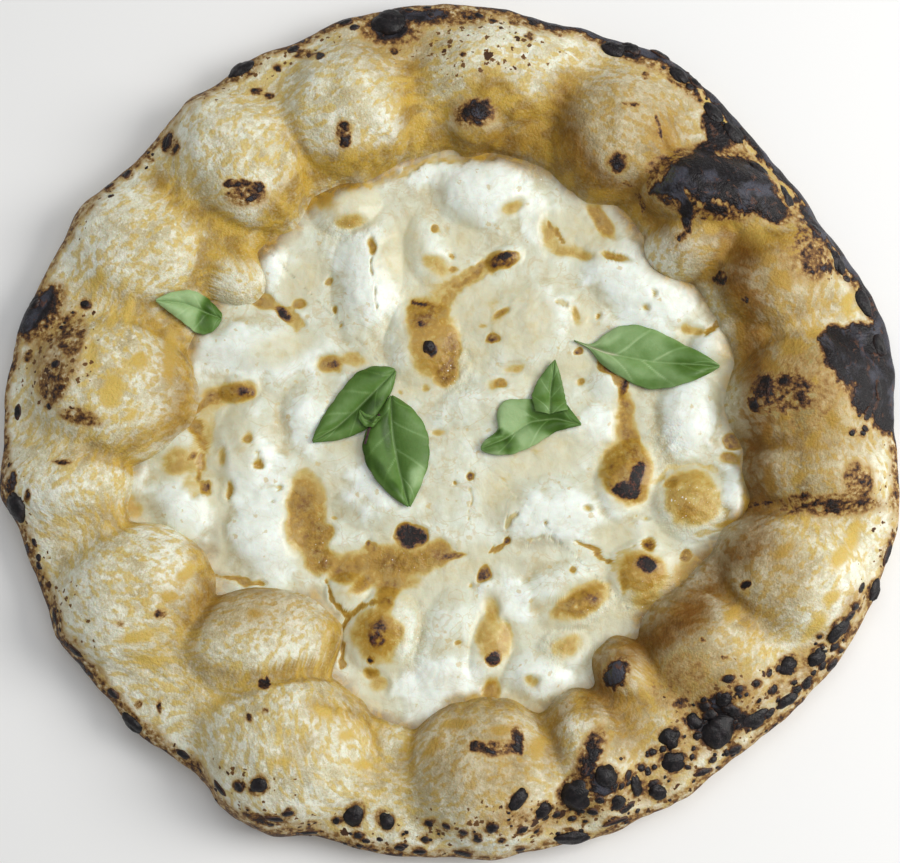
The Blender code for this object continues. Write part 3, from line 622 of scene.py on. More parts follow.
def makeBeads(ground):
    # Each bead is a flattened ball on the normal of the crust, partly sunk in it. Its radius is
    # 1 + noise - folds (1 - |noise|)^5, so that narrow folds run over it.
    shape = beadShape
    turnAround = np.arange(shape["around"]) / shape["around"] * 2 * math.pi
    down = np.linspace(0, math.pi, shape["rings"] + 2)[1:-1, None]
    ball = np.stack([np.sin(down) * np.cos(turnAround), np.sin(down) * np.sin(turnAround),
                     np.cos(down) + 0 * turnAround], -1).reshape(-1, 3)
    ball = np.concatenate([ball, [[0, 0, 1], [0, 0, -1]]])
    faces = closedRings(shape["rings"], shape["around"])
    allPoints, allFaces, browns = [], [], []
    for index, (x, y, halfLength, halfWidth, *turn) in enumerate(charBeads + strewn):
        height = rimReading if math.hypot(x, y) > 90 else cheeseReading
        middle, normal = surfacePoint(ground, x, y, height)
        turn = math.radians(turn[0] if turn else 0)
        along = np.array([math.cos(turn), math.sin(turn), 0])
        along = along - normal * (along @ normal)
        along /= np.linalg.norm(along)
        across = np.cross(normal, along)
        rise = shape["rise"] * min(halfLength, halfWidth)
        lumps = 1 + shape["wrinkle"] * fractalNoise(ball * 1.3 + index * 7.3, 1, 2, 50)
        lumps -= shape["folds"] * (1 - np.abs(latticeNoise(ball * 1.1 + index * 3.1, 1, 60))) ** 5
        body = ball * lumps[:, None] * [halfLength, halfWidth, rise]
        body[:, 2] -= shape["sunk"] * rise
        allPoints.append(middle + body @ np.stack([along, across, normal]))
        allFaces.append(faces + index * len(ball))
        browns.append(smoothStep(ball[:, 2], 0.9, 0.35) * smoothStep(min(halfLength, halfWidth), 3.6, 1.4))
    beads = makePiece("char_blisters", np.concatenate(allPoints), np.concatenate(allFaces),
                      {"brown": np.concatenate(browns)})
    print("char blisters", len(charBeads + strewn))
    return beads


# Melted cheese

cheeseShape = dict(grid=300, wallRows=5, edgeHeight=9.9, level=8.8, clearance=0.4, tuck=0.6, wallSlope=4.2)
cheeseLumps = (           # melted pieces: x, y, half length, half width, turn, rise
    (14, 88, 22, 15, 0, 4.5), (-30, 56, 28, 13, 85, 4), (-65, 62, 9, 6, 60, 3), (70, 52, 27, 15, -35, 3.6),
    (30, 36, 26, 20, 0, 2.8), (-75, 32, 21, 10, 0, 3), (-72, -4, 20, 12, 75, 3.2),
    (-96, -26, 15, 11, -50, 3.4), (-68, -38, 17, 14, 0, 3), (-25, -26, 17, 10, 0, 2.6),
    (0, -75, 22, 12, 75, 3), (38, -28, 26, 13, 0, 2.8), (31, -86, 14, 10, 0, 3.4),
    (85, 8, 21, 12, 80, 3.8), (101, -25, 12, 8, 85, 3), (40, -54, 18, 8, 20, 2.8),
    (14, 12, 24, 9, 20, 2.2), (60, 20, 12, 9, 30, 2.2), (-52, 8, 12, 9, 60, 2), (-8, 66, 9, 14, 10, 2.4),
    (94, 31, 9, 8, 0, 3),
)
cheeseBubbles = (         # where dough or cheese has puffed up, the same way
    (-10, 33, 17, 14, 80, 3.4), (-24, -71, 16, 14, 70, 6), (86, -26, 15, 14, 0, 5),
    (62, -18, 17, 11, 65, 4.5), (68, -50, 14, 12, 20, 4.5), (46, -62, 16, 8, 25, 3),
    (-38, 82, 14, 11, 0, 5), (13, -77, 13, 9, 85, 3), (39, -79, 12, 9, 30, 2.6), (-36, -58, 9, 8, 0, 3),
    (-97, -10, 13, 10, 80, 3), (20, 63, 8, 5, 25, 2.4), (-75, 15, 8, 6, 0, 2.2),
)

# Toast on the cheese, by level: 0.35 cream gone beige, 0.5 gold, 0.6 deep gold, 0.75 brown, 1 black. A few
# marks are painted shade instead, noted where they stand
cheeseMarks = {
    1.0: ((20, 63.5, 4.6, 1.8, 22), (-59.2, 43, 3.6, 1.7, -50), (-7.5, 30, 2.5),
          (-13.9, -37.3, 5.8, 3.9, 5), (66.3, -16, 2.4, 4.6, -8), (62, -21.3, 4.6, 3.1, 10),
          (69.3, -47.3, 3.1, 3.4), (15, -81, 2.3)),
    0.85: ((62, 16.2, 1.4, 3.2, -10), (-72.8, 14.2, 2, 1.4), (-10, 46.8, 3.4, 0.8, -12),
           (-10.2, 38.8, 2.2, 1.1, 5), (-12.6, 47.8, 1), (-28.6, -81.5, 1.5, 0.9),
           (-24, -70.5, 1.6, 3, -20), (-27.5, -75, 1.5, 2)),
    0.7: ((-41.6, 24, 2.4, 1.8), (-73, 14, 3.6, 2.4), (19.5, 62, 6.4, 3, 24), (56.4, 23.4, 4.6, 3, -40),
          (-25.5, -71.8, 3.6, 6, -15), (12.3, -51.2, 2.2, 3.2), (1, -44.2, 5, 0.9, 10), (83.3, -44.6, 1.9),
          (50, -59, 3.2, 1.4, 20), (70.5, -40.3, 1.9), (20.5, -38.4, 1.4), (7.7, -15.5, 1.5, 1.3),
          # (101.5, -4) is painted shade in the groove between cheese and rim
          (16, 33.4, 2.6, 1.4, 8), (-91.8, -9.4, 1.3, 1.6), (101.5, -4, 4, 3),
          (-86.6, -20.5, 1.4, 2.6, -10), (45.7, 28.7, 2, 1.4, 20), (-29, -39, 1.2)),
    0.53: ((-10.4, 42, 5.5, 7.5), (-1.5, 22, 5, 7, -10), (0.6, 31, 4, 6), (-5, 44, 5, 3),
           (-72.8, -3.2, 1.8, 2), (-67.8, -11.7, 1.6), (-52.5, -27, 5.4, 9.5, -8), (-49, -37, 6, 7),
           (-46.5, -44, 5, 7, 20), (-43.6, -36.5, 2.4, 3.5), (-18, -46.6, 13, 5, -3),
           (-22, -57, 4.2, 8.5, -12), (-28, -41, 3, 2.6), (-37, -50, 7, 3.6, 15), (-30, -54, 6, 2.6, 35),
           (-4, -43, 5, 4.4), (63, -16, 9, 10.5), (64.7, -4.3, 3.6, 5.5), (63.2, 7.4, 3.2, 7),
           (-2, 22, 5.6, 6, -40), (-0.6, 31, 3.4, 6, 10), (-67.8, 46.9, 5, 2.2, -15),
           (-54.2, 46.2, 2.8, 2), (-43.5, 54, 1.2, 1.8), (-42.8, 24, 4.8, 3.6), (-75, 14.5, 6.6, 4.4),
           (-84.2, 13, 3.5, 3), (18.6, 42.3, 3.4, 1.5, 40), (17.8, 17, 2.6, 2), (53.9, 41.6, 1.1),
           (47, 17.7, 1.6, 1.3), (43, -50, 1.8, 1.5), (56.1, -46.2, 1.5, 1.3), (3, -75.2, 1.5, 1.2),
           (60.8, -53.9, 1.8, 5), (46.5, -60.8, 11, 5, 28), (-41.7, 45, 1, 1.6), (0.7, 64, 1.2),
           (0.8, 58.6, 1.6, 1.2), (-4.6, 73.7, 1.3), (-28.5, 67, 1.5, 3.2, 10), (15, -91.5, 3.6, 4.5),
           (99.5, -10, 4, 2.4, -20), (88, -53, 8, 2.2, 45), (76, -62, 6, 2, 35), (79, -18, 3.4, 2, 30),
           (84, -29, 3.2, 3.6), (59, 63.3, 5, 1.4, -15), (-28.2, -86.2, 3.4, 2.4), (-78.3, -21, 1, 3.4),
           (1.9, -17.8, 1, 0.8), (-18.5, -71.4, 1.1), (55, 77, 7.5, 3, -50)),
    0.46: ((-24, -46, 17, 6.5, 4), (-36, -49, 8, 6), (-6, -43.5, 9, 4.6), (-20, -53, 11, 4),
           (-51, -30, 8, 15, -8), (-45, -46, 8, 6), (-6, 32, 10, 14), (62, -14, 10, 13), (68, -50, 9, 8),
           (-25, -72, 8.5, 9), (46, -61, 12, 6, 28), (63, 5, 4.5, 12), (-80, 14, 10, 5, 10),
           (84, -57, 14, 4.5, 42)),
    0.42: ((22.5, 81, 5, 2.8, 30), (35.7, 72, 3.6, 7, 15), (42, 66, 8.5, 2.8, -15), (48, 64, 5, 1.6),
           (-5, 60.5, 7, 3.6, -30), (-3, 50, 6.5, 3.6, -35), (-9.5, 42, 7.4, 9.6),
           (41.4, -76.4, 7.8, 5, 20), (28.6, -88.4, 3, 2.5), (-113.5, -27, 5.5, 4, -30),
           (-116.6, -31, 3.4), (-97.3, -11, 8, 6.5, 20), (85.6, -24, 11, 12.5), (67.8, -50.8, 11, 9.4),
           (96, -24, 1.4, 4), (97.3, -33, 5.5, 1.8, 10), (-25.9, -73, 10.5, 11), (15.5, -74, 7.5, 10),
           (15.2, -64, 3.4, 6), (-25.1, -90, 4.6, 3.4), (-51.5, -17.5, 5.4, 5.6), (7.7, -55, 1.4),
           (15.8, 16.6, 3, 2.6), (23.5, 23.4, 4, 2.2), (12, 38, 2, 1), (-40.6, -30.3, 1.2),
           (70, 44.8, 1.2), (73, 49, 0.8, 1.6), (69.3, -31, 1.2), (66, -30, 0.8), (49.6, -27.5, 1.6, 1.1),
           (34, -33, 0.9), (-3.4, 0, 2.2, 1.5), (-39.2, 38.4, 1.1), (-81, -9, 1.4, 4),
           (84.6, 36.6, 2.8, 2.5), (88, 36, 4, 2), (-17, 14, 1.1), (-8.6, 15.5, 1.4), (45, 42, 1.6, 4, 15),
           (70, -60, 7, 4.5), (83, -50, 6, 5, 30), (90, -46, 9, 4, 30), (-35, 26, 7, 3), (-72, -2, 1.6, 3),
           (13, -96, 12, 3), (-47, 92, 5, 4), (-46, 85, 3.5, 6), (-36, 76, 8, 3)),
    # among these, (-36, -5) is the upper leaf's painted shadow and (98, 20) painted shade of the right rim
    0.3: ((-18, 66, 9, 12, -20), (-53, 55, 7, 12, -30), (24, 41, 14, 14), (-13, 18, 12, 7),
          (33, -8, 20, 8, 15), (18, -22, 8, 12), (28, -1, 12, 8), (48, 40, 5, 8, 20), (-76, 0, 6, 16, 10),
          (-36, -5, 9, 4), (-60, 30, 14, 6, 20), (66, -62, 18, 7, 35), (-34.4, -57, 9, 6),
          (-13.5, -58, 8, 5.5), (-46.8, -59, 4.5, 5), (60, -38, 10, 6), (5, 72, 6, 8), (40, 22, 18, 5, 15),
          (10, -45, 14, 6), (-84, -14, 6, 16, 5), (-80.5, -42, 1.6, 9), (98, 20, 6, 14), (74, -36, 8, 5),
          (0, 40, 20, 22), (-37, 83, 13, 10), (-92, 44, 12, 5, 10), (46, 72, 18, 8, -20), (-28, -96, 8, 4),
          (36, -68, 8, 4, 30), (-2, -50, 16, 6)),
}
cheeseLines = {
    0.52: ((0.9, (14.3, 61.9), (5, 54), (0.7, 52.6)), (0.5, (36.4, 76), (38, 73), (40, 69.7)),
           (1.2, (-89.5, 3), (-88, -7.8), (-88.5, -18), (-86, -22)),
           (1.2, (-84, -51.3), (-79.4, -52.8), (-66, -54.4)),
           (0.9, (-43.7, -53.6), (-39, -62), (-37.5, -66)),
           (1.0, (-37.8, -84), (-39.4, -71.4), (-36, -65.5), (-29.8, -62), (-21, -61)),
           (0.5, (19.7, -39.2), (15, -42.3), (12, -44.6)),
           (1.3, (56.4, 22.7), (60.6, 16.2), (62.8, 4), (63, -6)),
           (1.6, (-75, 15.5), (-84, 14), (-91, 6), (-92, 0)),
           (1.6, (-117.4, -10.2), (-111, -6.3), (-98, 0.7), (-94, 3.8)),
           (0.8, (44, -39), (50.7, -42.3), (56, -46.2)), (1.0, (91, 35), (96.5, 39.8), (102, 42))),
    0.42: ((3, (18, 63), (8, 57), (0, 52), (-3, 44)), (2.4, (-76, 50), (-66, 48), (-58, 44), (-54, 38))),
    0.36: ((4, (-91, -21), (-89, -7), (-87, 8), (-80, 15)),
           (0.5, (8, -12), (8.8, -16.7), (7.3, -21.3), (6.5, -32)), (0.35, (0, -17.6), (6, -17.4)),
           (0.5, (-67, -20.6), (-60, -21), (-62.4, -25)), (0.8, (39.2, 47), (45.7, 41.2)),
           (0.4, (27.5, -40.7), (33.7, -37.6), (39, -40)), (0.5, (18, -17), (21, -19)),
           (0.8, (23.5, -29.5), (20, -34)), (0.35, (-28.2, 62), (-27.2, 54), (-26.5, 45)),
           (1.2, (73, -19), (78, -13), (87, -11), (95, -14)), (1.0, (98, -28), (97, -35), (88, -38)),
           (0.9, (57, -50), (60, -44), (66, -41)), (0.5, (-73, -4), (-70, -7), (-68, -11)),
           # the next stroke is painted shade of the right rim along the cheese's edge
           (2.5, (104, 60), (100, 46), (106, 20), (106, -30), (95, -43), (84, -59), (70, -71), (52, -80)),
           (2.0, (-95, 2), (-92, 14), (-95, 30), (-99, 42)),
           (1.6, (-60, 74), (-46, 88), (-24, 92), (-8, 100), (20, 101), (36, 98))),
}
wheyAndShade = (                # greyish places, partly where whey has gathered and partly painted shade, as beside the right rim
    (22.8, -46, 4.5, 2.5, -30), (31, -40.7, 5, 1.8), (37.5, -40, 3, 1.6), (-3.6, 87, 2.4, 6.5),
    (48.5, 41.4, 2.6, 2), (-54, 52, 5, 7, -30), (16.5, -59, 3, 4), (51, 38, 4, 2.5), (-83, -36, 2, 9),
    (-88, 36, 4, 2), (-96, 14, 2, 12), (101, 12, 4, 16), (-49, 61, 3, 6, 30),
)
milk = (                  # the whitest of the melted pieces
    (13, 87, 13, 14), (-62.5, 58.5, 5, 7, -40), (95, 30.5, 7, 8), (86.5, 5, 10, 13), (86, 50, 5, 8, -20),
    (104, -20, 6, 9), (-92, -28, 9, 11, -20), (-66, -30, 12, 22, 12), (36, -88, 10, 6), (-110, -17, 3, 6),
    (-70, 28, 22, 9), (-30, 58, 9, 20, 25), (67, 55, 22, 12, -35), (40, -30, 18, 8), (-10, -92, 8, 14, 20),
    (-26, -18, 12, 8), (34, 44, 10, 6), (-50, 2, 7, 8), (52, 2, 8, 6), (66, 40, 12, 6, -30),
    (-72, -12, 8, 14, 70), (20, -60, 8, 8), (2, -90, 10, 8), (70, -36, 5, 4), (-8, 96, 8, 5),
    (30, 78, 6, 8),
)
# Oil between cheese and rim, one value every 15 degrees
oilRing = (0.7, 0.6, 0.8, 1, 1, 0.9, 1, 1, 1, 1, 0.9, 0.8, 0.5, 0.4, 0.7, 0.8, 0.7, 0.9, 0.8, 0.7, 0.9, 1,
           1, 0.9)
sparkles = (              # where the cheese glistens in fine grains: finer bumps and painted white glints
    (-14, -71, 6, 12), (30, 92, 8, 4, 20), (77, -5, 6, 10), (52, -64, 8, 4, 30), (36, -78, 4, 6),
    (-46, -40, 4, 12), (86, -28, 12, 10), (-36, 73, 9, 4), (72, -58, 12, 6, 30), (96, 58, 8, 6),
    (-14, -46, 12, 4), (2, 24, 6, 10),
)


def cheeseHeight(place, marks):
    # the pool, its soft lumps and dough bubbles, thinner where it has run to gold, with fine uneven relief
    flat = atHeight(place, 0)
    lumps = np.maximum(domes(place, cheeseLumps, 1.3), domes(place, cheeseBubbles, 1.15))
    relief = 0.3 * fractalNoise(flat, 11, 2, 61) + 0.13 * fractalNoise(flat, 3.2, 3, 71)
    relief += 0.25 * marks["sparkle"] * fractalNoise(flat, 1.6, 2, 77)
    thick = smoothStep(marks["toast"] + 0.08 * fractalNoise(flat, 6, 2, 81), 0.5, 0.1)
    return cheeseShape["level"] + lumps + relief + 0.6 * thick + 1.1 * marks["milky"]


def makeCheese(rimFoot):
    # A square grid is carried to a disc (distance = the larger of |a| and |b|, angle by the smaller) and
    # stretched to the cheese's edge. A wall then drops from its border to the flat underside.
    shape = cheeseShape
    n = shape["grid"]
    a, b = np.meshgrid(np.linspace(-1, 1, n + 1), np.linspace(-1, 1, n + 1), indexing="ij")
    wide = np.abs(a) > np.abs(b)
    distance = np.where(wide, a, b)
    safe = np.where(distance == 0, 1, distance)
    angle = np.where(wide, math.pi / 4 * b / safe, math.pi / 2 - math.pi / 4 * a / safe)
    x, y = distance * np.cos(angle), distance * np.sin(angle)
    columns = len(rimFoot)
    foot = np.hypot(rimFoot[:, 0], rimFoot[:, 1])
    edgeRadius = np.max([np.roll(foot, shift) for shift in range(-5, 6)], axis=0)     # bridges sharp creases
    edgeRadius = blurGrid(edgeRadius[None], 1, 4)[0] + shape["tuck"]
    edgeAngle = np.arange(columns + 1) / columns * 2 * math.pi
    turned = np.mod(np.arctan2(y, x), 2 * math.pi)
    limit = np.interp(turned, edgeAngle, np.append(edgeRadius, edgeRadius[0]))
    inward = np.abs(distance)
    even = 0.9 * foot.min()
    reach = even * inward + (limit - even) * inward ** 2.5
    share = reach / np.maximum(inward, 1e-9)
    place = np.stack([x * share, y * share], -1)

    flat = atHeight(place, 0)
    read = readOnPlane(atHeight(place, cheeseReading), cheeseReading)
    wobble = wobbleOf(flat, 6, (91, 95))
    fray = fractalNoise(flat, 2.6, 2, 63)
    stained = np.clip(toastOf(read + 0.9 * wobble, cheeseMarks, cheeseLines, fray), 0, 1.1)
    marks = {
        "toast": stained,
        "wheyAndShade": softCover(read + wobble, wheyAndShade, 2),
        "sparkle": softCover(read + wobble, sparkles, 3),
        "milky": softCover(read + 2.5 * wobble, milk, 5) * smoothStep(stained, 0.5, 0.2),
        "oily": smoothStep(limit - reach + 2 * wobble[..., 0], 8, 1) * roundThePizza(oilRing, turned),
    }
    height = cheeseHeight(place, marks)
    # lumps above the blurred surface, for painted light on the lumps and painted shade in the hollows
    marks["crest"] = np.clip((height - blurred(height, 60)) / 0.5, -1, 1)
    toEdge = smoothStep(limit - reach, 0, 5)
    height = shape["edgeHeight"] + (height - shape["edgeHeight"]) * toEdge
    top = np.concatenate([place, height[..., None]], -1).reshape(-1, 3)

    border = sheetBorder(n + 1, n + 1)
    low = rimShape["baseThickness"] + shape["clearance"]
    edge = top[border]
    drop = np.linspace(0, 1, shape["wallRows"] + 1)[1:, None, None]
    radius = np.hypot(edge[:, 0], edge[:, 1])[:, None]
    slide = 1 - shape["wallSlope"] * drop / radius
    wall = np.concatenate([edge[:, :2] * slide, edge[:, 2:] + (low - edge[:, 2:]) * drop], -1)
    count = len(border)
    rings = [border] + [len(top) + k * count + np.arange(count) for k in range(shape["wallRows"])]
    quads = [sheetFaces(n + 1, n + 1)]
    for upper, lower in zip(rings, rings[1:]):
        quads.append(np.stack([upper, lower, np.roll(lower, -1), np.roll(upper, -1)], -1))
    points = np.concatenate([top, wall.reshape(-1, 3), [planCentre + [0, 0, low]]])
    fan = np.column_stack([np.full(count, len(points) - 1), np.roll(rings[-1], -1), rings[-1]])
    for name, values in marks.items():
        values = values.ravel()
        marks[name] = np.concatenate([values, np.tile(values[border], shape["wallRows"]), [0]])
    triangles = np.concatenate([halved(np.concatenate(quads)), fan])
    cheese = makePiece("cheese_melted", points, triangles, marks)
    print("cheese", len(triangles), "triangles")
    return cheese


# Basil

leafStyle = dict(steps=(90, 41), thickness=0.45, quilt=0.22, ripple=0.3, ribWidth=0.42, lift=0.35,
                 usualHeight=14)
# Each leaf says how high each half arches, how far the tip curls, how many side veins it has, its plain tone
# and how far along the midrib is pinkish white (blush). Then come its two edges and the midrib between them,
# all from the stalk end. tones are x, y, half length, half width, turn and the tone in that place: painted
# shade by the folds and beside the midrib, painted light on the raised halves.
leaves = {
    "basil_leaf_left_blade": dict(
        node="basil_leaf_left", arch=1.2, curl=1.0, veins=4, tone=0.98, blush=0,
        left=((-82, 41.5), (-82, 43.3), (-84.5, 46), (-87.2, 48.4), (-91, 50), (-94, 50.4), (-99.9, 49.2),
              (-105, 46.2)),
        rib=((-82, 41.3), (-88, 43.5), (-95, 45.6), (-105, 46)),
        right=((-82, 41), (-83.4, 38.2), (-85.8, 36), (-89.2, 35.4), (-92, 36.4), (-96.3, 39.5),
               (-101.3, 43), (-105, 45.8)),
        tones=((-85.5, 43, 4.2, 8, -15, 0.35), (-87.5, 43.5, 1.2, 6, -22, 0.12),
               (-84, 40.5, 1.8, 3, 10, 0.62))),
    "basil_leaf_upper_blade": dict(
        node="basil_leaf_upper", arch=1.6, curl=0.3, veins=4, tone=0.45, blush=0,
        left=((-19.4, 22.9), (-22, 24), (-27.9, 24), (-33.9, 21.3), (-39.2, 14.8), (-44.6, 7.1),
              (-48.1, 0.5), (-49.4, -3.5)),
        rib=((-19.4, 22.7), (-27, 14.8), (-33, 8.8), (-40, 2.2), (-49.4, -3.7)),
        right=((-19.2, 22.5), (-20.2, 16.6), (-22.3, 12.4), (-25, 6.5), (-29.1, 2), (-33.3, -0.6),
               (-40.4, -2.9), (-49.4, -3.9)),
        tones=((-28.5, 10, 6.5, 2.6, 48, 0.0), (-23.5, 17, 5.5, 2.2, 60, 0.62), (-38, 12, 4, 7, -25, 0.55),
               (-30, 21.5, 6, 1.5, -10, 0.3), (-42, -1.5, 6, 1.6, 15, 0.6))),
    "basil_leaf_lower_blade": dict(
        node="basil_leaf_lower", arch=1.8, curl=0.4, veins=4, tone=0.5, blush=0,
        left=((-21.2, 13.6), (-24.4, 8.3), (-27.2, 4.1), (-29.9, 0.5), (-31.3, -4.2), (-30.3, -10.2),
              (-27.9, -14.9), (-24.4, -19.7), (-19.6, -24.4), (-14.6, -27.4)),
        rib=((-21, 13.6), (-20.9, 4.1), (-20.2, -3), (-18.4, -12.5), (-16, -22.1), (-14.4, -27.3)),
        right=((-20.8, 13.6), (-17.8, 11.8), (-14.3, 9.4), (-10.7, 5.2), (-8.3, 0.5), (-7.5, -5.4),
               (-7.7, -11.4), (-9.5, -16.7), (-11.3, -21.5), (-14.2, -27.4)),
        tones=((-22.8, 1, 8.5, 1.8, -82, 0.1), (-30, -7.8, 6, 1.6, 100, 0.08),
               (-24.5, -14.5, 6, 1.6, -60, 0.15), (-12, -16.5, 3, 4.5, -15, 0.9),
               (-12.5, 3, 3, 5, 25, 0.6), (-20, -20, 3, 1.4, -50, 0.2), (-17, 8, 2, 5, 20, 0.35))),
    # the dark stalk and a small curled leaf lie on those two
    "basil_stalk": dict(
        node="basil_leaf_lower", arch=0.2, curl=0, veins=0, tone=0.3, blush=0, tones=(),
        left=((-25.3, 6.6), (-29.0, 2.2), (-30.8, -4.6)),
        rib=((-25, 6.3), (-28.6, 1.9), (-30.4, -4.7)),
        right=((-24.7, 6), (-28.2, 1.6), (-30, -4.8))),
    "basil_curled_bit": dict(
        node="basil_leaf_upper", arch=0.8, curl=0.6, veins=2, tone=0.5, blush=0,
        left=((-32.4, 7.6), (-32.8, 4.6), (-30.4, 1.8), (-27.4, 1.4), (-24.6, 4.6)),
        rib=((-32.4, 7.8), (-30.6, 4.4), (-27.8, 3.4), (-24.6, 4.8)),
        right=((-32.2, 8), (-30, 6.2), (-27.6, 5.6), (-24.4, 5)),
        tones=((-29.6, 4.6, 2.4, 0.7, -30, 0.15),)),
    "basil_leaf_folded_blade": dict(
        node="basil_leaf_folded", arch=1.3, curl=0.5, veins=3, tone=0.95, blush=0,
        left=((47.3, 2.7), (44.5, 6.5), (41.3, 11), (36, 11.6), (29.7, 11.8), (23.8, 11.8), (18.4, 11),
              (16.5, 6), (17.6, 0.8), (11.6, -3.4), (10.7, -5.9)),
        rib=((47.3, 2.6), (38, 5), (29, 4), (20, -2.2), (10.7, -6)),
        right=((47.3, 2.5), (38, 0.5), (33, -2.6), (29.7, -4.8), (22.6, -7.8), (16.6, -8.2), (12, -7.2),
               (10.7, -6.1)),
        tones=((38, 5.5, 7.5, 6.5, -10, 0.22), (31.5, 7, 3.5, 7, 5, 0.4), (44, 4, 3, 4, 30, 0.45),
               (19, -3.6, 5.5, 3.4, -20, 0.45), (20.4, -4, 1.1, 2.6, 10, 0.05),
               (17.6, -0.2, 1.6, 1, 40, 0.2), (14, -5.6, 2.6, 1.6, 0, 0.55))),
    "basil_leaf_point_blade": dict(
        node="basil_leaf_point", arch=0.8, curl=1.2, veins=3, tone=0.6, blush=0,
        left=((30.6, 7), (29.2, 13), (31.4, 18.5), (34.6, 23), (37.7, 26.2)),
        rib=((35.5, 6), (36, 15), (37.7, 26.2)),
        right=((42, 7.5), (41.2, 13), (40.2, 18), (39.2, 22), (37.7, 26.2)),
        tones=((33, 14, 3.5, 4, 40, 0.5), (38.5, 14, 2.4, 5, 0, 0.42))),
    "basil_leaf_right_blade": dict(
        node="basil_leaf_right", arch=1.5, curl=0.4, veins=4, tone=0.8, blush=0.34,
        left=((44, 33.5), (50, 31.5), (52.4, 32.6), (55.3, 35.5), (60.3, 38.2), (65.3, 38.9), (71, 37.8),
              (78.1, 35), (85.3, 31.1), (91, 28.1), (97.2, 23.9)),
        rib=((44, 33.3), (50, 31), (56, 28.8), (62.8, 27.2), (73.1, 25.5), (85, 24.6), (97.2, 23.8)),
        right=((44, 33), (50, 30.4), (51.7, 28), (54.6, 24.4), (58.9, 21.4), (65.3, 17.8), (70.3, 15.8),
               (76.7, 15.7), (83.8, 17.1), (90.3, 19.7), (97.2, 23.7)),
        tones=((87.5, 24, 7, 5.5, -10, 0.45), (87, 23, 3.5, 2.4, 30, 0.3), (58, 35, 6, 2.4, 30, 1.0),
               (72, 17.5, 9, 1.6, 0, 0.62), (84, 29, 8, 2.6, -28, 0.55), (56, 27, 4, 1.6, -35, 0.95))),
}


def blurred(values, passes):
    for _ in range(passes):
        padded = np.pad(values, 1, mode="edge")
        values = (padded[:-2, 1:-1] + padded[2:, 1:-1] + padded[1:-1, :-2] + padded[1:-1, 2:]) / 4
    return values


def roundedLine(line, t):
    # straight runs through the line's points, spaced by their length, with the corners averaged away
    line = np.array(line, float)
    way = np.append(0, np.cumsum(np.hypot(*np.diff(line, axis=0).T)))
    places = np.stack([np.interp(t, way / way[-1], line[:, k]) for k in (0, 1)], -1)
    for _ in range(len(t) // 8):
        places[1:-1] = (places[:-2] + 2 * places[1:-1] + places[2:]) / 4
    return places


def groundUnder(place, ground, every=(6, 4)):
    # height of what lies under a grid of places: every sixth row and fourth column is probed from above
    rows = np.unique(np.append(np.arange(0, place.shape[0], every[0]), place.shape[0] - 1))
    columns = np.unique(np.append(np.arange(0, place.shape[1], every[1]), place.shape[1] - 1))
    probes = np.zeros((len(rows), len(columns)))
    for i, j in np.ndindex(probes.shape):
        x, y = (place[rows[i], columns[j]] - planCentre[:2]) * mm
        hits = [tree.ray_cast(Vector((x, y, 0.1)), Vector((0, 0, -1)))[0] for tree in ground]
        probes[i, j] = max((hit.z / mm for hit in hits if hit is not None), default=0)
    across = np.array([np.interp(np.arange(place.shape[1]), columns, row) for row in probes])
    return np.array([np.interp(np.arange(place.shape[0]), rows, column) for column in across.T]).T


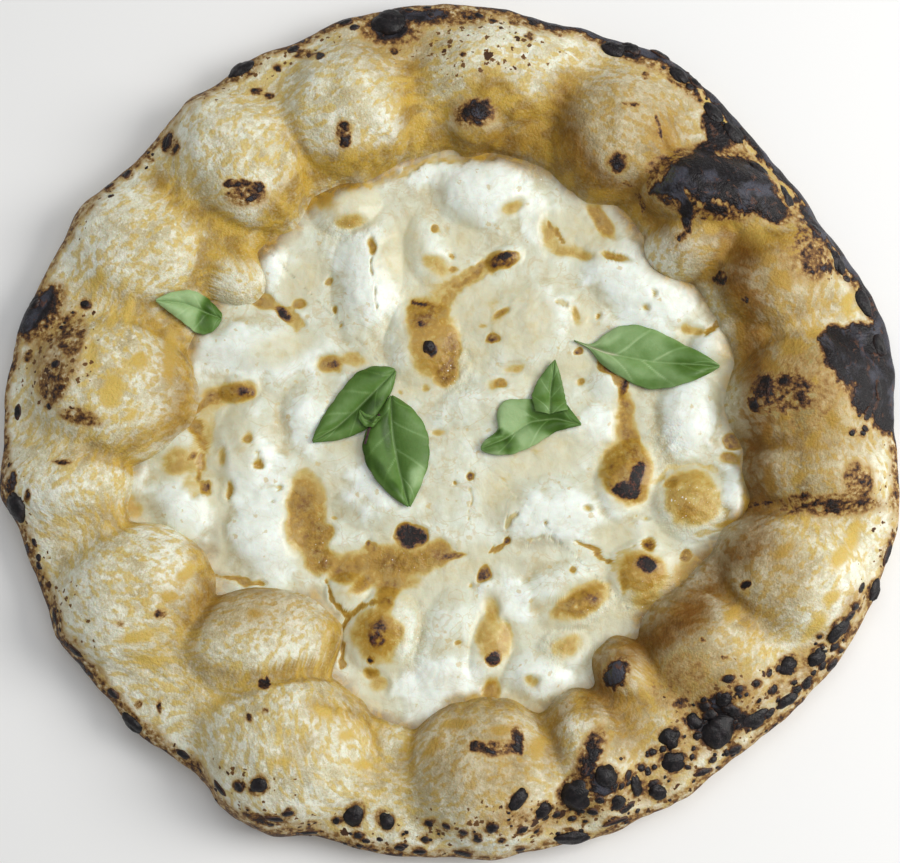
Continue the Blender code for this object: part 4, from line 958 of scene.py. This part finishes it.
def makeLeaf(name, shape, ground):
    # t runs from stalk end to tip, s from the left edge at -1 over the midrib to the right edge at 1.
    # Each half arches by 4|s|(1 - |s|), the tip curls by t^3, and the blade swells between its side veins.
    style = leafStyle
    rows, columns = style["steps"]
    t, s = np.meshgrid(np.linspace(0.01, 0.99, rows), np.linspace(-1, 1, columns), indexing="ij")
    left, rib, right = (roundedLine(shape[key], t[:, 0])[:, None] for key in ("left", "rib", "right"))
    teeth = 1 + 0.03 * np.abs(np.sin(8 * math.pi * t[:, :1]))[..., None]     # scalloped edges
    left, right = rib + (left - rib) * teeth, rib + (right - rib) * teeth
    toLeft, toRight = np.maximum(-s, 0)[..., None], np.maximum(s, 0)[..., None]
    seen = rib + toLeft * (left - rib) + toRight * (right - rib)
    place = readOnPlane(atHeight(seen, cheeseReading), style["usualHeight"])
    base = groundUnder(place, ground)
    width = np.hypot(*np.moveaxis(np.where((s < 0)[..., None], left - rib, right - rib), -1, 0))
    fromRib = np.abs(s) * width
    vein = np.abs(np.sin(math.pi * (shape["veins"] * (t - 0.24 * np.abs(s) ** 0.8) + 0.15 * np.sign(s))))
    midrib = np.exp(-(fromRib / style["ribWidth"]) ** 2) * np.clip(width / 2, 0, 1)
    sideVein = np.exp(-(vein / 0.11) ** 2) * (1 - np.abs(s)) ** 0.4
    swellUp = style["quilt"] * vein * (1 - s ** 4) * np.minimum(1, np.abs(s) * 4)
    rise = shape["arch"] * 4 * np.abs(s) * (1 - np.abs(s)) * np.clip(width / 6, 0, 1)
    rise += shape["curl"] * t ** 3
    rise += style["ripple"] * np.sin(9 * t + 2 * s) * np.clip(width / 3, 0, 1) + swellUp - 0.3 * midrib
    height = blurred(base, 30) + rise
    height += max(0, (base - height).max()) + style["lift"]
    lower = np.concatenate([place, height[..., None]], -1)
    upper = lower + [0, 0, style["thickness"]]

    # painted light and shade on the blade, from the tones
    tone = np.full(t.shape, float(shape["tone"]))
    for *patch, level in shape["tones"]:
        blur = 0.5 * min(3, patch[3])
        tone += smoothStep(markDepth(seen, patch), -blur, blur) * (level - tone)
    count = rows * columns
    quads, edge = sheetFaces(rows, columns), sheetBorder(rows, columns)
    rimQuads = np.stack([edge, np.roll(edge, -1), np.roll(edge, -1) + count, edge + count], -1)
    faces = np.concatenate([quads + count, quads[:, ::-1], rimQuads])
    # the order of the quads follows the handedness of the two edges
    turn = np.cross(rib[-1, 0] - rib[0, 0], left[rows // 2, 0] - rib[rows // 2, 0])
    if turn > 0:
        faces = faces[:, ::-1]
    points = np.concatenate([lower.reshape(-1, 3), upper.reshape(-1, 3)])
    marks = {"vein": sideVein, "rib": midrib * 0.6, "tone": tone,
             "blush": smoothStep(t, shape["blush"], shape["blush"] - 0.06)}
    marks = {key: np.tile(values.ravel(), 2) for key, values in marks.items()}
    leaf = makePiece(name, points, faces, marks)
    print(name, "laid on the cheese")
    return leaf


# Materials

def srgb(red, green, blue):
    # the linear colour of an 8-bit screen colour
    share = np.array([red, green, blue]) / 255
    linear = np.where(share <= 0.04045, share / 12.92, ((share + 0.055) / 1.055) ** 2.4)
    return (*linear, 1)


def connect(tree, socket, value):
    if isinstance(value, bpy.types.NodeSocket):
        tree.links.new(value, socket)
    else:
        socket.default_value = value


def maths(tree, operation, a, b=0.0):
    node = tree.nodes.new("ShaderNodeMath")
    node.operation = operation
    connect(tree, node.inputs[0], a)
    connect(tree, node.inputs[1], b)
    return node.outputs[0]


def centred(tree, value, amount):
    # (value - 0.5) x amount
    return maths(tree, "MULTIPLY", maths(tree, "SUBTRACT", value, 0.5), amount)


def total(tree, *values):
    result = values[0]
    for value in values[1:]:
        result = maths(tree, "ADD", result, value)
    return result


def times(tree, *values):
    result = values[0]
    for value in values[1:]:
        result = maths(tree, "MULTIPLY", result, value)
    return result


def step(tree, value, low, high):
    # 0 below low, 1 above high, smooth between
    node = tree.nodes.new("ShaderNodeMapRange")
    node.interpolation_type = "SMOOTHSTEP"
    connect(tree, node.inputs["Value"], value)
    connect(tree, node.inputs["From Min"], low)
    connect(tree, node.inputs["From Max"], high)
    return node.outputs["Result"]


def blendColour(tree, factor, a, b, mode="MIX"):
    node = tree.nodes.new("ShaderNodeMix")
    node.data_type = "RGBA"
    node.blend_type = mode
    connect(tree, node.inputs["Factor"], factor)
    connect(tree, node.inputs[6], a)
    connect(tree, node.inputs[7], b)
    return node.outputs[2]


def noiseAt(tree, vector, wavelength, detail=3.0, roughness=0.55, distortion=0.0, offset=0.0):
    node = tree.nodes.new("ShaderNodeTexNoise")
    shift = tree.nodes.new("ShaderNodeVectorMath")
    shift.operation = "MULTIPLY_ADD"
    connect(tree, shift.inputs[0], vector)
    shift.inputs[1].default_value = (1 / wavelength,) * 3
    shift.inputs[2].default_value = (offset, offset * 0.7, offset * 1.3)
    connect(tree, node.inputs["Vector"], shift.outputs[0])
    node.inputs["Scale"].default_value = 1
    node.inputs["Detail"].default_value = detail
    node.inputs["Roughness"].default_value = roughness
    node.inputs["Distortion"].default_value = distortion
    return node.outputs["Fac"]


def readMark(tree, name, output="Fac"):
    node = tree.nodes.new("ShaderNodeAttribute")
    node.attribute_name = name
    return node.outputs[output]


def rampOf(tree, value, stops):
    # a colour ramp through stops of place, red, green and blue on the screen
    node = tree.nodes.new("ShaderNodeValToRGB")
    ramp = node.color_ramp
    while len(ramp.elements) < len(stops):
        ramp.elements.new(0.5)
    for element, (place, *colour) in zip(ramp.elements, stops):
        element.position = place
        element.color = srgb(*colour)
    tree.links.new(value, node.inputs["Fac"])
    return node.outputs["Color"]


def millimetres(tree):
    # Object coordinates in millimetres
    place = tree.nodes.new("ShaderNodeTexCoord")
    scale = tree.nodes.new("ShaderNodeVectorMath")
    scale.operation = "SCALE"
    tree.links.new(place.outputs["Object"], scale.inputs[0])
    scale.inputs["Scale"].default_value = 1000
    return scale.outputs[0]


def newGroup(name, inputs, outputs):
    group = bpy.data.node_groups.new(name, "ShaderNodeTree")
    kinds = {"number": "NodeSocketFloat", "colour": "NodeSocketColor", "vector": "NodeSocketVector"}
    for socket, kind in inputs:
        group.interface.new_socket(name=socket, in_out="INPUT", socket_type=kinds[kind])
    for socket, kind in outputs:
        group.interface.new_socket(name=socket, in_out="OUTPUT", socket_type=kinds[kind])
    return group, group.nodes.new("NodeGroupInput"), group.nodes.new("NodeGroupOutput")


def useGroup(tree, group, **values):
    node = tree.nodes.new("ShaderNodeGroup")
    node.node_tree = group
    for name, value in values.items():
        connect(tree, node.inputs[name], value)
    return node.outputs


def leopardSpots():
    # round dots of uneven size, one to a cell, each as big as its cell's own random number allows
    inputs = [("Vector", "vector"), ("Cell", "number"), ("Density", "number")]
    group, given, result = newGroup("leopard spots", inputs, [("Spots", "number")])
    scale = group.nodes.new("ShaderNodeVectorMath")
    scale.operation = "SCALE"
    group.links.new(given.outputs["Vector"], scale.inputs[0])
    group.links.new(maths(group, "DIVIDE", 1.0, given.outputs["Cell"]), scale.inputs["Scale"])
    bend = group.nodes.new("ShaderNodeTexNoise")
    bend.inputs["Scale"].default_value = 2.2
    bend.inputs["Detail"].default_value = 2
    group.links.new(scale.outputs[0], bend.inputs["Vector"])
    bent = group.nodes.new("ShaderNodeVectorMath")
    bent.operation = "MULTIPLY_ADD"
    group.links.new(bend.outputs["Color"], bent.inputs[0])
    bent.inputs[1].default_value = (0.75,) * 3
    group.links.new(scale.outputs[0], bent.inputs[2])
    cells = group.nodes.new("ShaderNodeTexVoronoi")
    group.links.new(bent.outputs[0], cells.inputs["Vector"])
    cells.inputs["Scale"].default_value = 1
    split = group.nodes.new("ShaderNodeSeparateColor")
    group.links.new(cells.outputs["Color"], split.inputs[0])
    size = times(group, maths(group, "POWER", split.outputs[0], 2.0), given.outputs["Density"], 0.52)
    inside = maths(group, "SUBTRACT", size, cells.outputs["Distance"])
    group.links.new(step(group, inside, -0.03, 0.09), result.inputs["Spots"])
    return group


def raggedToast():
    # roughens the edges of the toasted marks with two sizes of noise, and leaves what is not toasted alone
    inputs = [("Toast", "number"), ("Vector", "vector"), ("Amount", "number"), ("Grit", "number")]
    group, given, result = newGroup("ragged toast", inputs, [("Toast", "number"), ("Black", "number")])
    plain, place = given.outputs["Toast"], given.outputs["Vector"]
    coarse, fine = noiseAt(group, place, 3.4, 3, 0.55), noiseAt(group, place, 1.2, 2, 0.5, offset=5.0)
    noise = total(group, centred(group, coarse, 1.0), centred(group, fine, 0.55))
    inMark, inBlack = step(group, plain, 0.4, 0.85), step(group, plain, 1.0, 0.9)
    share = times(group, inMark, total(group, 0.42, times(group, inBlack, 0.8)))
    noise = times(group, noise, given.outputs["Amount"], share)
    # brown areas are crowds of specks
    grit = centred(group, noiseAt(group, place, 2.2, 3, 0.6, offset=8.0), given.outputs["Grit"])
    inBrown = times(group, step(group, plain, 0.34, 0.62), step(group, plain, 0.88, 0.72))
    toast = total(group, plain, noise, times(group, grit, inBrown))
    group.links.new(toast, result.inputs["Toast"])
    group.links.new(step(group, toast, 0.82, 0.95), result.inputs["Black"])
    return group


def newMaterial(name, roughness, **settings):
    # settings are the shader's other inputs, with _ for a space
    material = bpy.data.materials.new(name)
    material.use_nodes = True
    tree = material.node_tree
    shader = tree.nodes["Principled BSDF"]
    shader.inputs["Roughness"].default_value = roughness
    for socket, value in settings.items():
        shader.inputs[socket.replace("_", " ")].default_value = value
    return material, tree, shader


def bumpFrom(tree, shader, height, strength, distance):
    bump = tree.nodes.new("ShaderNodeBump")
    bump.inputs["Strength"].default_value = strength
    bump.inputs["Distance"].default_value = distance
    tree.links.new(height, bump.inputs["Height"])
    tree.links.new(bump.outputs["Normal"], shader.inputs["Normal"])


def doughMaterial(spots, ragged):
    gloss = dict(Subsurface_Weight=0.1, Subsurface_Scale=0.003, Specular_IOR_Level=0.3)
    material, tree, shader = newMaterial("baked dough", 0.6, **gloss)
    p, grain = millimetres(tree), readMark(tree, "grain", "Vector")
    broad = noiseAt(tree, p, 14, 2, 0.5, offset=2.0)
    blotches = noiseAt(tree, grain, 5.5, 3, 0.55, 0.3, offset=11.0)
    fuzz = noiseAt(tree, p, 0.6, 3, 0.6, offset=9.0)
    crest, outwards = readMark(tree, "crest"), readMark(tree, "outwards")
    # how pale the dough is, from 0 to 1: noise, paler outwards, with painted light on the crests and painted
    # shade in the hollows
    hollowShade, crestLight = step(tree, crest, -0.15, -1.1), step(tree, crest, 0.0, 1.6)
    tone = total(tree, 0.5, centred(tree, broad, 0.8), centred(tree, blotches, 0.8),
                 centred(tree, fuzz, 0.6), times(tree, crestLight, 0.08), times(tree, hollowShade, -0.1),
                 times(tree, outwards, 0.08))
    colour = rampOf(tree, tone, ((0.1, 168, 151, 110), (0.3, 195, 184, 146), (0.48, 212, 206, 176),
                                 (0.64, 225, 224, 202), (0.85, 235, 237, 224)))
    # a mosaic of cream dabs and golden flecks over it, the dabs a little denser on the crests as painted
    # light
    dabs = noiseAt(tree, p, 2.1, 2, 0.55, 0.3, offset=3.0)
    threads = noiseAt(tree, p, 1.0, 2, 0.5, offset=6.0)
    dabbed = step(tree, total(tree, dabs, times(tree, crestLight, 0.03), times(tree, outwards, 0.03),
                              centred(tree, broad, 0.3)), 0.48, 0.68)
    colour = blendColour(tree, times(tree, dabbed, 0.68), colour, srgb(236, 237, 222))
    flecks = noiseAt(tree, grain, 2.3, 2, 0.5, 0.2, offset=17.0)
    golden = readMark(tree, "golden")
    flecked = step(tree, total(tree, flecks, centred(tree, blotches, 0.3), centred(tree, broad, 0.15),
                               times(tree, golden, 0.08), times(tree, hollowShade, 0.04)), 0.48, 0.65)
    goldTone = blendColour(tree, step(tree, threads, 0.35, 0.65), srgb(210, 184, 94), srgb(194, 162, 68))
    tan = step(tree, noiseAt(tree, p, 3.6, 3, 0.55, 0.3, offset=29.0), 0.5, 0.62)
    colour = blendColour(tree, times(tree, tan, 0.42), colour, srgb(188, 174, 138))
    colour = blendColour(tree, times(tree, flecked, 0.74), colour, goldTone)
    # golden-brown oil at the rim's foot and in the creases, where it is partly painted shade
    oilAndShadeColour = blendColour(tree, step(tree, blotches, 0.38, 0.62), srgb(149, 114, 27), srgb(188, 153, 54))
    inCrease = times(tree, readMark(tree, "crease"), total(tree, 0.9, centred(tree, blotches, 0.6)))
    oilAndCreaseShade = times(tree, maths(tree, "MAXIMUM", golden, inCrease),
                  total(tree, 0.9, centred(tree, threads, 0.6)))
    colour = blendColour(tree, oilAndCreaseShade, colour, oilAndShadeColour)
    colour = blendColour(tree, times(tree, readMark(tree, "ovals"), 0.92), colour, srgb(202, 172, 84))
    # baked areas (partly painted shade) and the painted shade of the shaded slopes only darken the colour
    # under them
    colour = blendColour(tree, times(tree, readMark(tree, "bakedAndShaded"), 0.9), colour, (0.68, 0.58, 0.44, 1),
                         "MULTIPLY")
    duskyShare = times(tree, readMark(tree, "dusky"),
                       total(tree, 0.9, centred(tree, blotches, 1.1), centred(tree, flecks, 0.8)))
    colour = blendColour(tree, duskyShare, colour, (0.46, 0.33, 0.2, 1), "MULTIPLY")
    result = useGroup(tree, ragged, Toast=readMark(tree, "toast"), Vector=p, Amount=0.62, Grit=1.5)
    dots = readMark(tree, "dots")
    small = useGroup(tree, spots, Vector=p, Cell=2.2, Density=times(tree, dots, 1.2))["Spots"]
    large = useGroup(tree, spots, Vector=p, Cell=5.0, Density=times(tree, dots, 0.85))["Spots"]
    dotted = maths(tree, "MAXIMUM", times(tree, small, 0.68), times(tree, large, 0.8))
    marked = maths(tree, "MAXIMUM", result["Toast"], dotted)
    burnt = rampOf(tree, marked, ((0.2, 196, 170, 112), (0.45, 172, 138, 78), (0.6, 134, 98, 50),
                                  (0.72, 92, 60, 32), (0.84, 50, 31, 23), (0.95, 17, 12, 15)))
    # the char gets a painted bluish-grey sheen in places, more on the crests, and is rusty in streaks
    streaks = noiseAt(tree, grain, 3.2, 4, 0.65, 1.0, offset=23.0)
    charSheenAndRust = blendColour(tree, step(tree, total(tree, blotches, times(tree, crestLight, 0.12)), 0.51, 0.72), burnt,
                      srgb(64, 64, 74))
    charSheenAndRust = blendColour(tree, times(tree, step(tree, streaks, 0.57, 0.68), 0.75), charSheenAndRust, srgb(96, 62, 44))
    burnt = blendColour(tree, step(tree, marked, 0.86, 0.98), burnt, charSheenAndRust)
    colour = blendColour(tree, step(tree, marked, 0.08, 0.6), colour, burnt, "DARKEN")
    under = readMark(tree, "underside")
    bakedUnder = blendColour(tree, step(tree, blotches, 0.42, 0.6), srgb(196, 160, 104), srgb(116, 78, 40))
    colour = blendColour(tree, times(tree, under, 0.85), colour, bakedUnder)
    tree.links.new(colour, shader.inputs["Base Color"])
    glossy = maths(tree, "MAXIMUM", result["Black"], golden)
    tree.links.new(total(tree, 0.48, times(tree, fuzz, 0.3), times(tree, glossy, -0.18)),
                   shader.inputs["Roughness"])
    height = total(tree, times(tree, threads, 0.7), times(tree, fuzz, 0.3), times(tree, flecks, 0.4),
                   times(tree, streaks, result["Black"], 1.2))
    bumpFrom(tree, shader, height, 0.8, 0.0007)
    return material


def charMaterial():
    material, tree, shader = newMaterial("black char", 0.4, Specular_IOR_Level=0.35)
    p = millimetres(tree)
    coarse, fine = noiseAt(tree, p, 2.4, 4, 0.6), noiseAt(tree, p, 0.6, 3, 0.6)
    colour = blendColour(tree, step(tree, coarse, 0.4, 0.7), srgb(10, 8, 11), srgb(32, 26, 30))
    colour = blendColour(tree, times(tree, step(tree, fine, 0.55, 0.7), 0.35), colour, srgb(66, 46, 34))
    brown = step(tree, total(tree, readMark(tree, "brown"), centred(tree, coarse, 0.9)), 0.15, 0.75)
    colour = blendColour(tree, times(tree, brown, 0.85), colour, srgb(78, 48, 30))
    tree.links.new(colour, shader.inputs["Base Color"])
    tree.links.new(total(tree, 0.3, times(tree, fine, 0.25)), shader.inputs["Roughness"])
    bumpFrom(tree, shader, total(tree, coarse, times(tree, fine, 0.3)), 0.7, 0.0006)
    return material


def cheeseMaterial(spots, ragged):
    gloss = dict(Subsurface_Weight=0.12, Subsurface_Scale=0.004, Coat_Roughness=0.15, Specular_IOR_Level=0.35)
    material, tree, shader = newMaterial("melted mozzarella", 0.34, **gloss)
    p = millimetres(tree)
    broad = noiseAt(tree, p, 15, 3, 0.55)
    patches = noiseAt(tree, p, 4.5, 4, 0.6, 0.5, offset=3.0)
    fine = noiseAt(tree, p, 0.8, 3, 0.6, offset=7.0)
    sparkle, oily = readMark(tree, "sparkle"), readMark(tree, "oily")
    # beige film, from grey to cream, under the white pieces, with painted light on the lumps and painted
    # shade in the hollows
    crest = readMark(tree, "crest")
    tone = total(tree, 0.5, centred(tree, broad, 0.9), centred(tree, patches, 0.9),
                 centred(tree, fine, 0.2), times(tree, crest, 0.2))
    film = rampOf(tree, tone, ((0.14, 190, 181, 146), (0.34, 206, 204, 178), (0.5, 211, 213, 192),
                               (0.7, 223, 228, 214)))
    white = blendColour(tree, step(tree, patches, 0.35, 0.65), srgb(227, 232, 220), srgb(236, 243, 236))
    # the white pieces, whiter on the lumps as painted light
    milky = step(tree, total(tree, readMark(tree, "milky"), centred(tree, patches, 0.7),
                             times(tree, crest, 0.3)), 0.1, 0.9)
    colour = blendColour(tree, milky, film, white)
    # thin beige seams where the melted pieces met
    seams = noiseAt(tree, p, 10, 3, 0.6, 0.6, offset=19.0)
    seam = step(tree, maths(tree, "ABSOLUTE", maths(tree, "SUBTRACT", seams, 0.5)), 0.03, 0.0)
    seamShare = times(tree, seam, maths(tree, "SUBTRACT", 1.0, times(tree, milky, 0.6)), 0.42)
    colour = blendColour(tree, seamShare, colour, srgb(194, 172, 122))
    # grey-beige: whey, and painted shade beside the right rim and around the white pieces
    wheyShadeShare = times(tree, readMark(tree, "wheyAndShade"), 0.7)
    colour = blendColour(tree, wheyShadeShare, colour, srgb(184, 180, 156))
    yellow = useGroup(tree, spots, Vector=p, Cell=3.6, Density=0.62)["Spots"]
    colour = blendColour(tree, times(tree, yellow, 0.55), colour, srgb(198, 172, 104))
    # stains: gold, deep gold and brown, with calmer edges the paler they are
    result = useGroup(tree, ragged, Toast=readMark(tree, "toast"), Vector=p, Amount=1.0, Grit=0.5)
    toast = maths(tree, "MULTIPLY", result["Toast"], total(tree, 1.0, centred(tree, patches, 0.6)))
    stain = rampOf(tree, toast, ((0.1, 212, 210, 182), (0.29, 207, 203, 172), (0.38, 196, 173, 102),
                                 (0.45, 173, 135, 48), (0.56, 150, 113, 32), (0.67, 126, 86, 26),
                                 (0.77, 86, 54, 24), (0.86, 48, 28, 20), (0.96, 20, 13, 14)))
    foam = times(tree, step(tree, patches, 0.52, 0.6), step(tree, toast, 0.36, 0.46),
                 step(tree, toast, 0.66, 0.56))
    stain = blendColour(tree, times(tree, foam, 0.34), stain, srgb(180, 158, 98))
    grit = noiseAt(tree, p, 1.7, 4, 0.7, offset=13.0)
    rusty = times(tree, step(tree, grit, 0.52, 0.62), step(tree, toast, 0.75, 0.9))
    stain = blendColour(tree, times(tree, rusty, 0.9), stain, srgb(88, 46, 30))
    colour = blendColour(tree, step(tree, toast, 0.05, 0.4), colour, stain)
    gold = blendColour(tree, step(tree, patches, 0.4, 0.6), srgb(130, 92, 20), srgb(180, 142, 52))
    oilShare = times(tree, oily, total(tree, 0.95, centred(tree, patches, 1.0)))
    colour = blendColour(tree, oilShare, colour, gold)
    # painted glints: small white dots where the cheese glistens
    paintedGlint = useGroup(tree, spots, Vector=p, Cell=1.3, Density=times(tree, sparkle, 0.5))["Spots"]
    colour = blendColour(tree, times(tree, paintedGlint, 0.8), colour, srgb(240, 244, 238))
    tree.links.new(colour, shader.inputs["Base Color"])
    roughness = total(tree, 0.26, times(tree, fine, 0.2), times(tree, oily, -0.1),
                      times(tree, result["Black"], 0.2))
    coat = times(tree, maths(tree, "SUBTRACT", 1.0, result["Black"]), 0.15)
    tree.links.new(roughness, shader.inputs["Roughness"])
    tree.links.new(coat, shader.inputs["Coat Weight"])
    height = total(tree, times(tree, patches, 0.45), times(tree, fine, 0.2),
                   times(tree, fine, sparkle, 1.2), times(tree, patches, toast, 0.9),
                   times(tree, grit, result["Black"]))
    bumpFrom(tree, shader, height, 0.45, 0.0007)
    return material


def basilMaterial():
    # the tone runs from painted shade in dark folds at 0 through plain green at 0.5 to painted greyish light
    # at 1
    gloss = dict(Subsurface_Weight=0.05, Subsurface_Scale=0.001, Specular_IOR_Level=0.3)
    material, tree, shader = newMaterial("basil leaf", 0.42, **gloss)
    p = millimetres(tree)
    broad, fine = noiseAt(tree, p, 5, 3, 0.5), noiseAt(tree, p, 0.9, 3, 0.6)
    tone = total(tree, readMark(tree, "tone"), centred(tree, broad, 0.4),
                 times(tree, readMark(tree, "vein"), 0.34))
    colour = rampOf(tree, tone, ((0.0, 44, 72, 12), (0.25, 62, 94, 28), (0.5, 84, 118, 50),
                                 (0.75, 112, 144, 84), (1.0, 150, 178, 124)))
    rib = blendColour(tree, readMark(tree, "blush"), srgb(128, 156, 98), srgb(206, 196, 176))
    colour = blendColour(tree, readMark(tree, "rib"), colour, rib)
    tree.links.new(colour, shader.inputs["Base Color"])
    tree.links.new(total(tree, 0.34, times(tree, fine, 0.2)), shader.inputs["Roughness"])
    bumpFrom(tree, shader, fine, 0.35, 0.0003)
    return material


def stalkMaterial():
    material, tree, shader = newMaterial("basil stalk", 0.5)
    streaks = noiseAt(tree, millimetres(tree), 1.5, 2, 0.5)
    colour = blendColour(tree, step(tree, streaks, 0.35, 0.65), srgb(48, 20, 36), srgb(84, 52, 52))
    tree.links.new(colour, shader.inputs["Base Color"])
    return material


# Putting it together

spots, ragged = leopardSpots(), raggedToast()
dough, cheeseLook = doughMaterial(spots, ragged), cheeseMaterial(spots, ragged)
basil, stalkLook, charred = basilMaterial(), stalkMaterial(), charMaterial()

crust = makeCrust()
crust.data.materials.append(dough)
innerRing = rimSurface()[0][0]                # the foot of the rim's inner side
cheese = makeCheese(innerRing)
cheese.data.materials.append(cheeseLook)

beads = makeBeads(treeOf(crust, cheese))
beads.data.materials.append(charred)

body = ((crust, "crust", "baked_dough"), (cheese, "melted_cheese", "melted_cheese"),
        (beads, "crust", "baked_dough"))
for piece, node, slot in body:
    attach(piece, "root")
    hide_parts(node)

ground = [treeOf(crust), treeOf(cheese)]
for name, shape in leaves.items():
    leaf, node = makeLeaf(name, shape, ground), shape["node"]
    leaf.data.materials.append(stalkLook if name == "basil_stalk" else basil)
    ground.append(treeOf(leaf))
    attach(leaf, "root")
    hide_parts(node)


# Floor, light and camera

floorReach, floorDrop = 3.0, 0.0005           # half the floor's width, and how far it lies under the pizza
lights = dict(
    key=dict(place=(0.95, 0.05, 0.8), size=0.75, power=12.6, colour=(1.0, 0.985, 0.95)),
    top=dict(place=(0.1, 0.35, 1.6), size=1.4, power=9.0, colour=(0.99, 0.99, 0.98)),
)
skyColour, skyStrength = (0.96, 0.98, 1.0, 1), 0.3
lensLength, sensorWidth = 100, 36


def areaLight(name, place, size, power, colour):
    light = bpy.data.lights.new(name, "AREA")
    light.size = size
    light.energy = power
    light.color = colour
    lamp = link(name, light)
    lamp.location = place
    lamp.rotation_euler = (-Vector(place)).to_track_quat("-Z", "Y").to_euler()


floorMesh = bpy.data.meshes.new("floor")
corners = ((-1, -1), (1, -1), (1, 1), (-1, 1))
floorMesh.from_pydata([(a * floorReach, b * floorReach, -floorDrop) for a, b in corners], [], [(0, 1, 2, 3)])
floor = link("floor", floorMesh)
floorMaterial, _, floorShader = newMaterial("pale floor", 0.9)
floorShader.inputs["Base Color"].default_value = (0.86, 0.86, 0.86, 1)
floor.data.materials.append(floorMaterial)

for name, settings in lights.items():
    areaLight(name, **settings)
world = bpy.data.worlds.new("studio")
world.use_nodes = True
world.node_tree.nodes["Background"].inputs["Color"].default_value = skyColour
world.node_tree.nodes["Background"].inputs["Strength"].default_value = skyStrength
bpy.context.scene.world = world
bpy.context.scene.view_settings.view_transform = "Standard"

lens = bpy.data.cameras.new("camera")
lens.lens = lensLength
lens.sensor_width = sensorWidth
camera = link("camera", lens)
camera.location = Vector((eye - planCentre) * mm)
camera.rotation_euler = (viewTilt, 0, 0)
bpy.context.scene.camera = camera
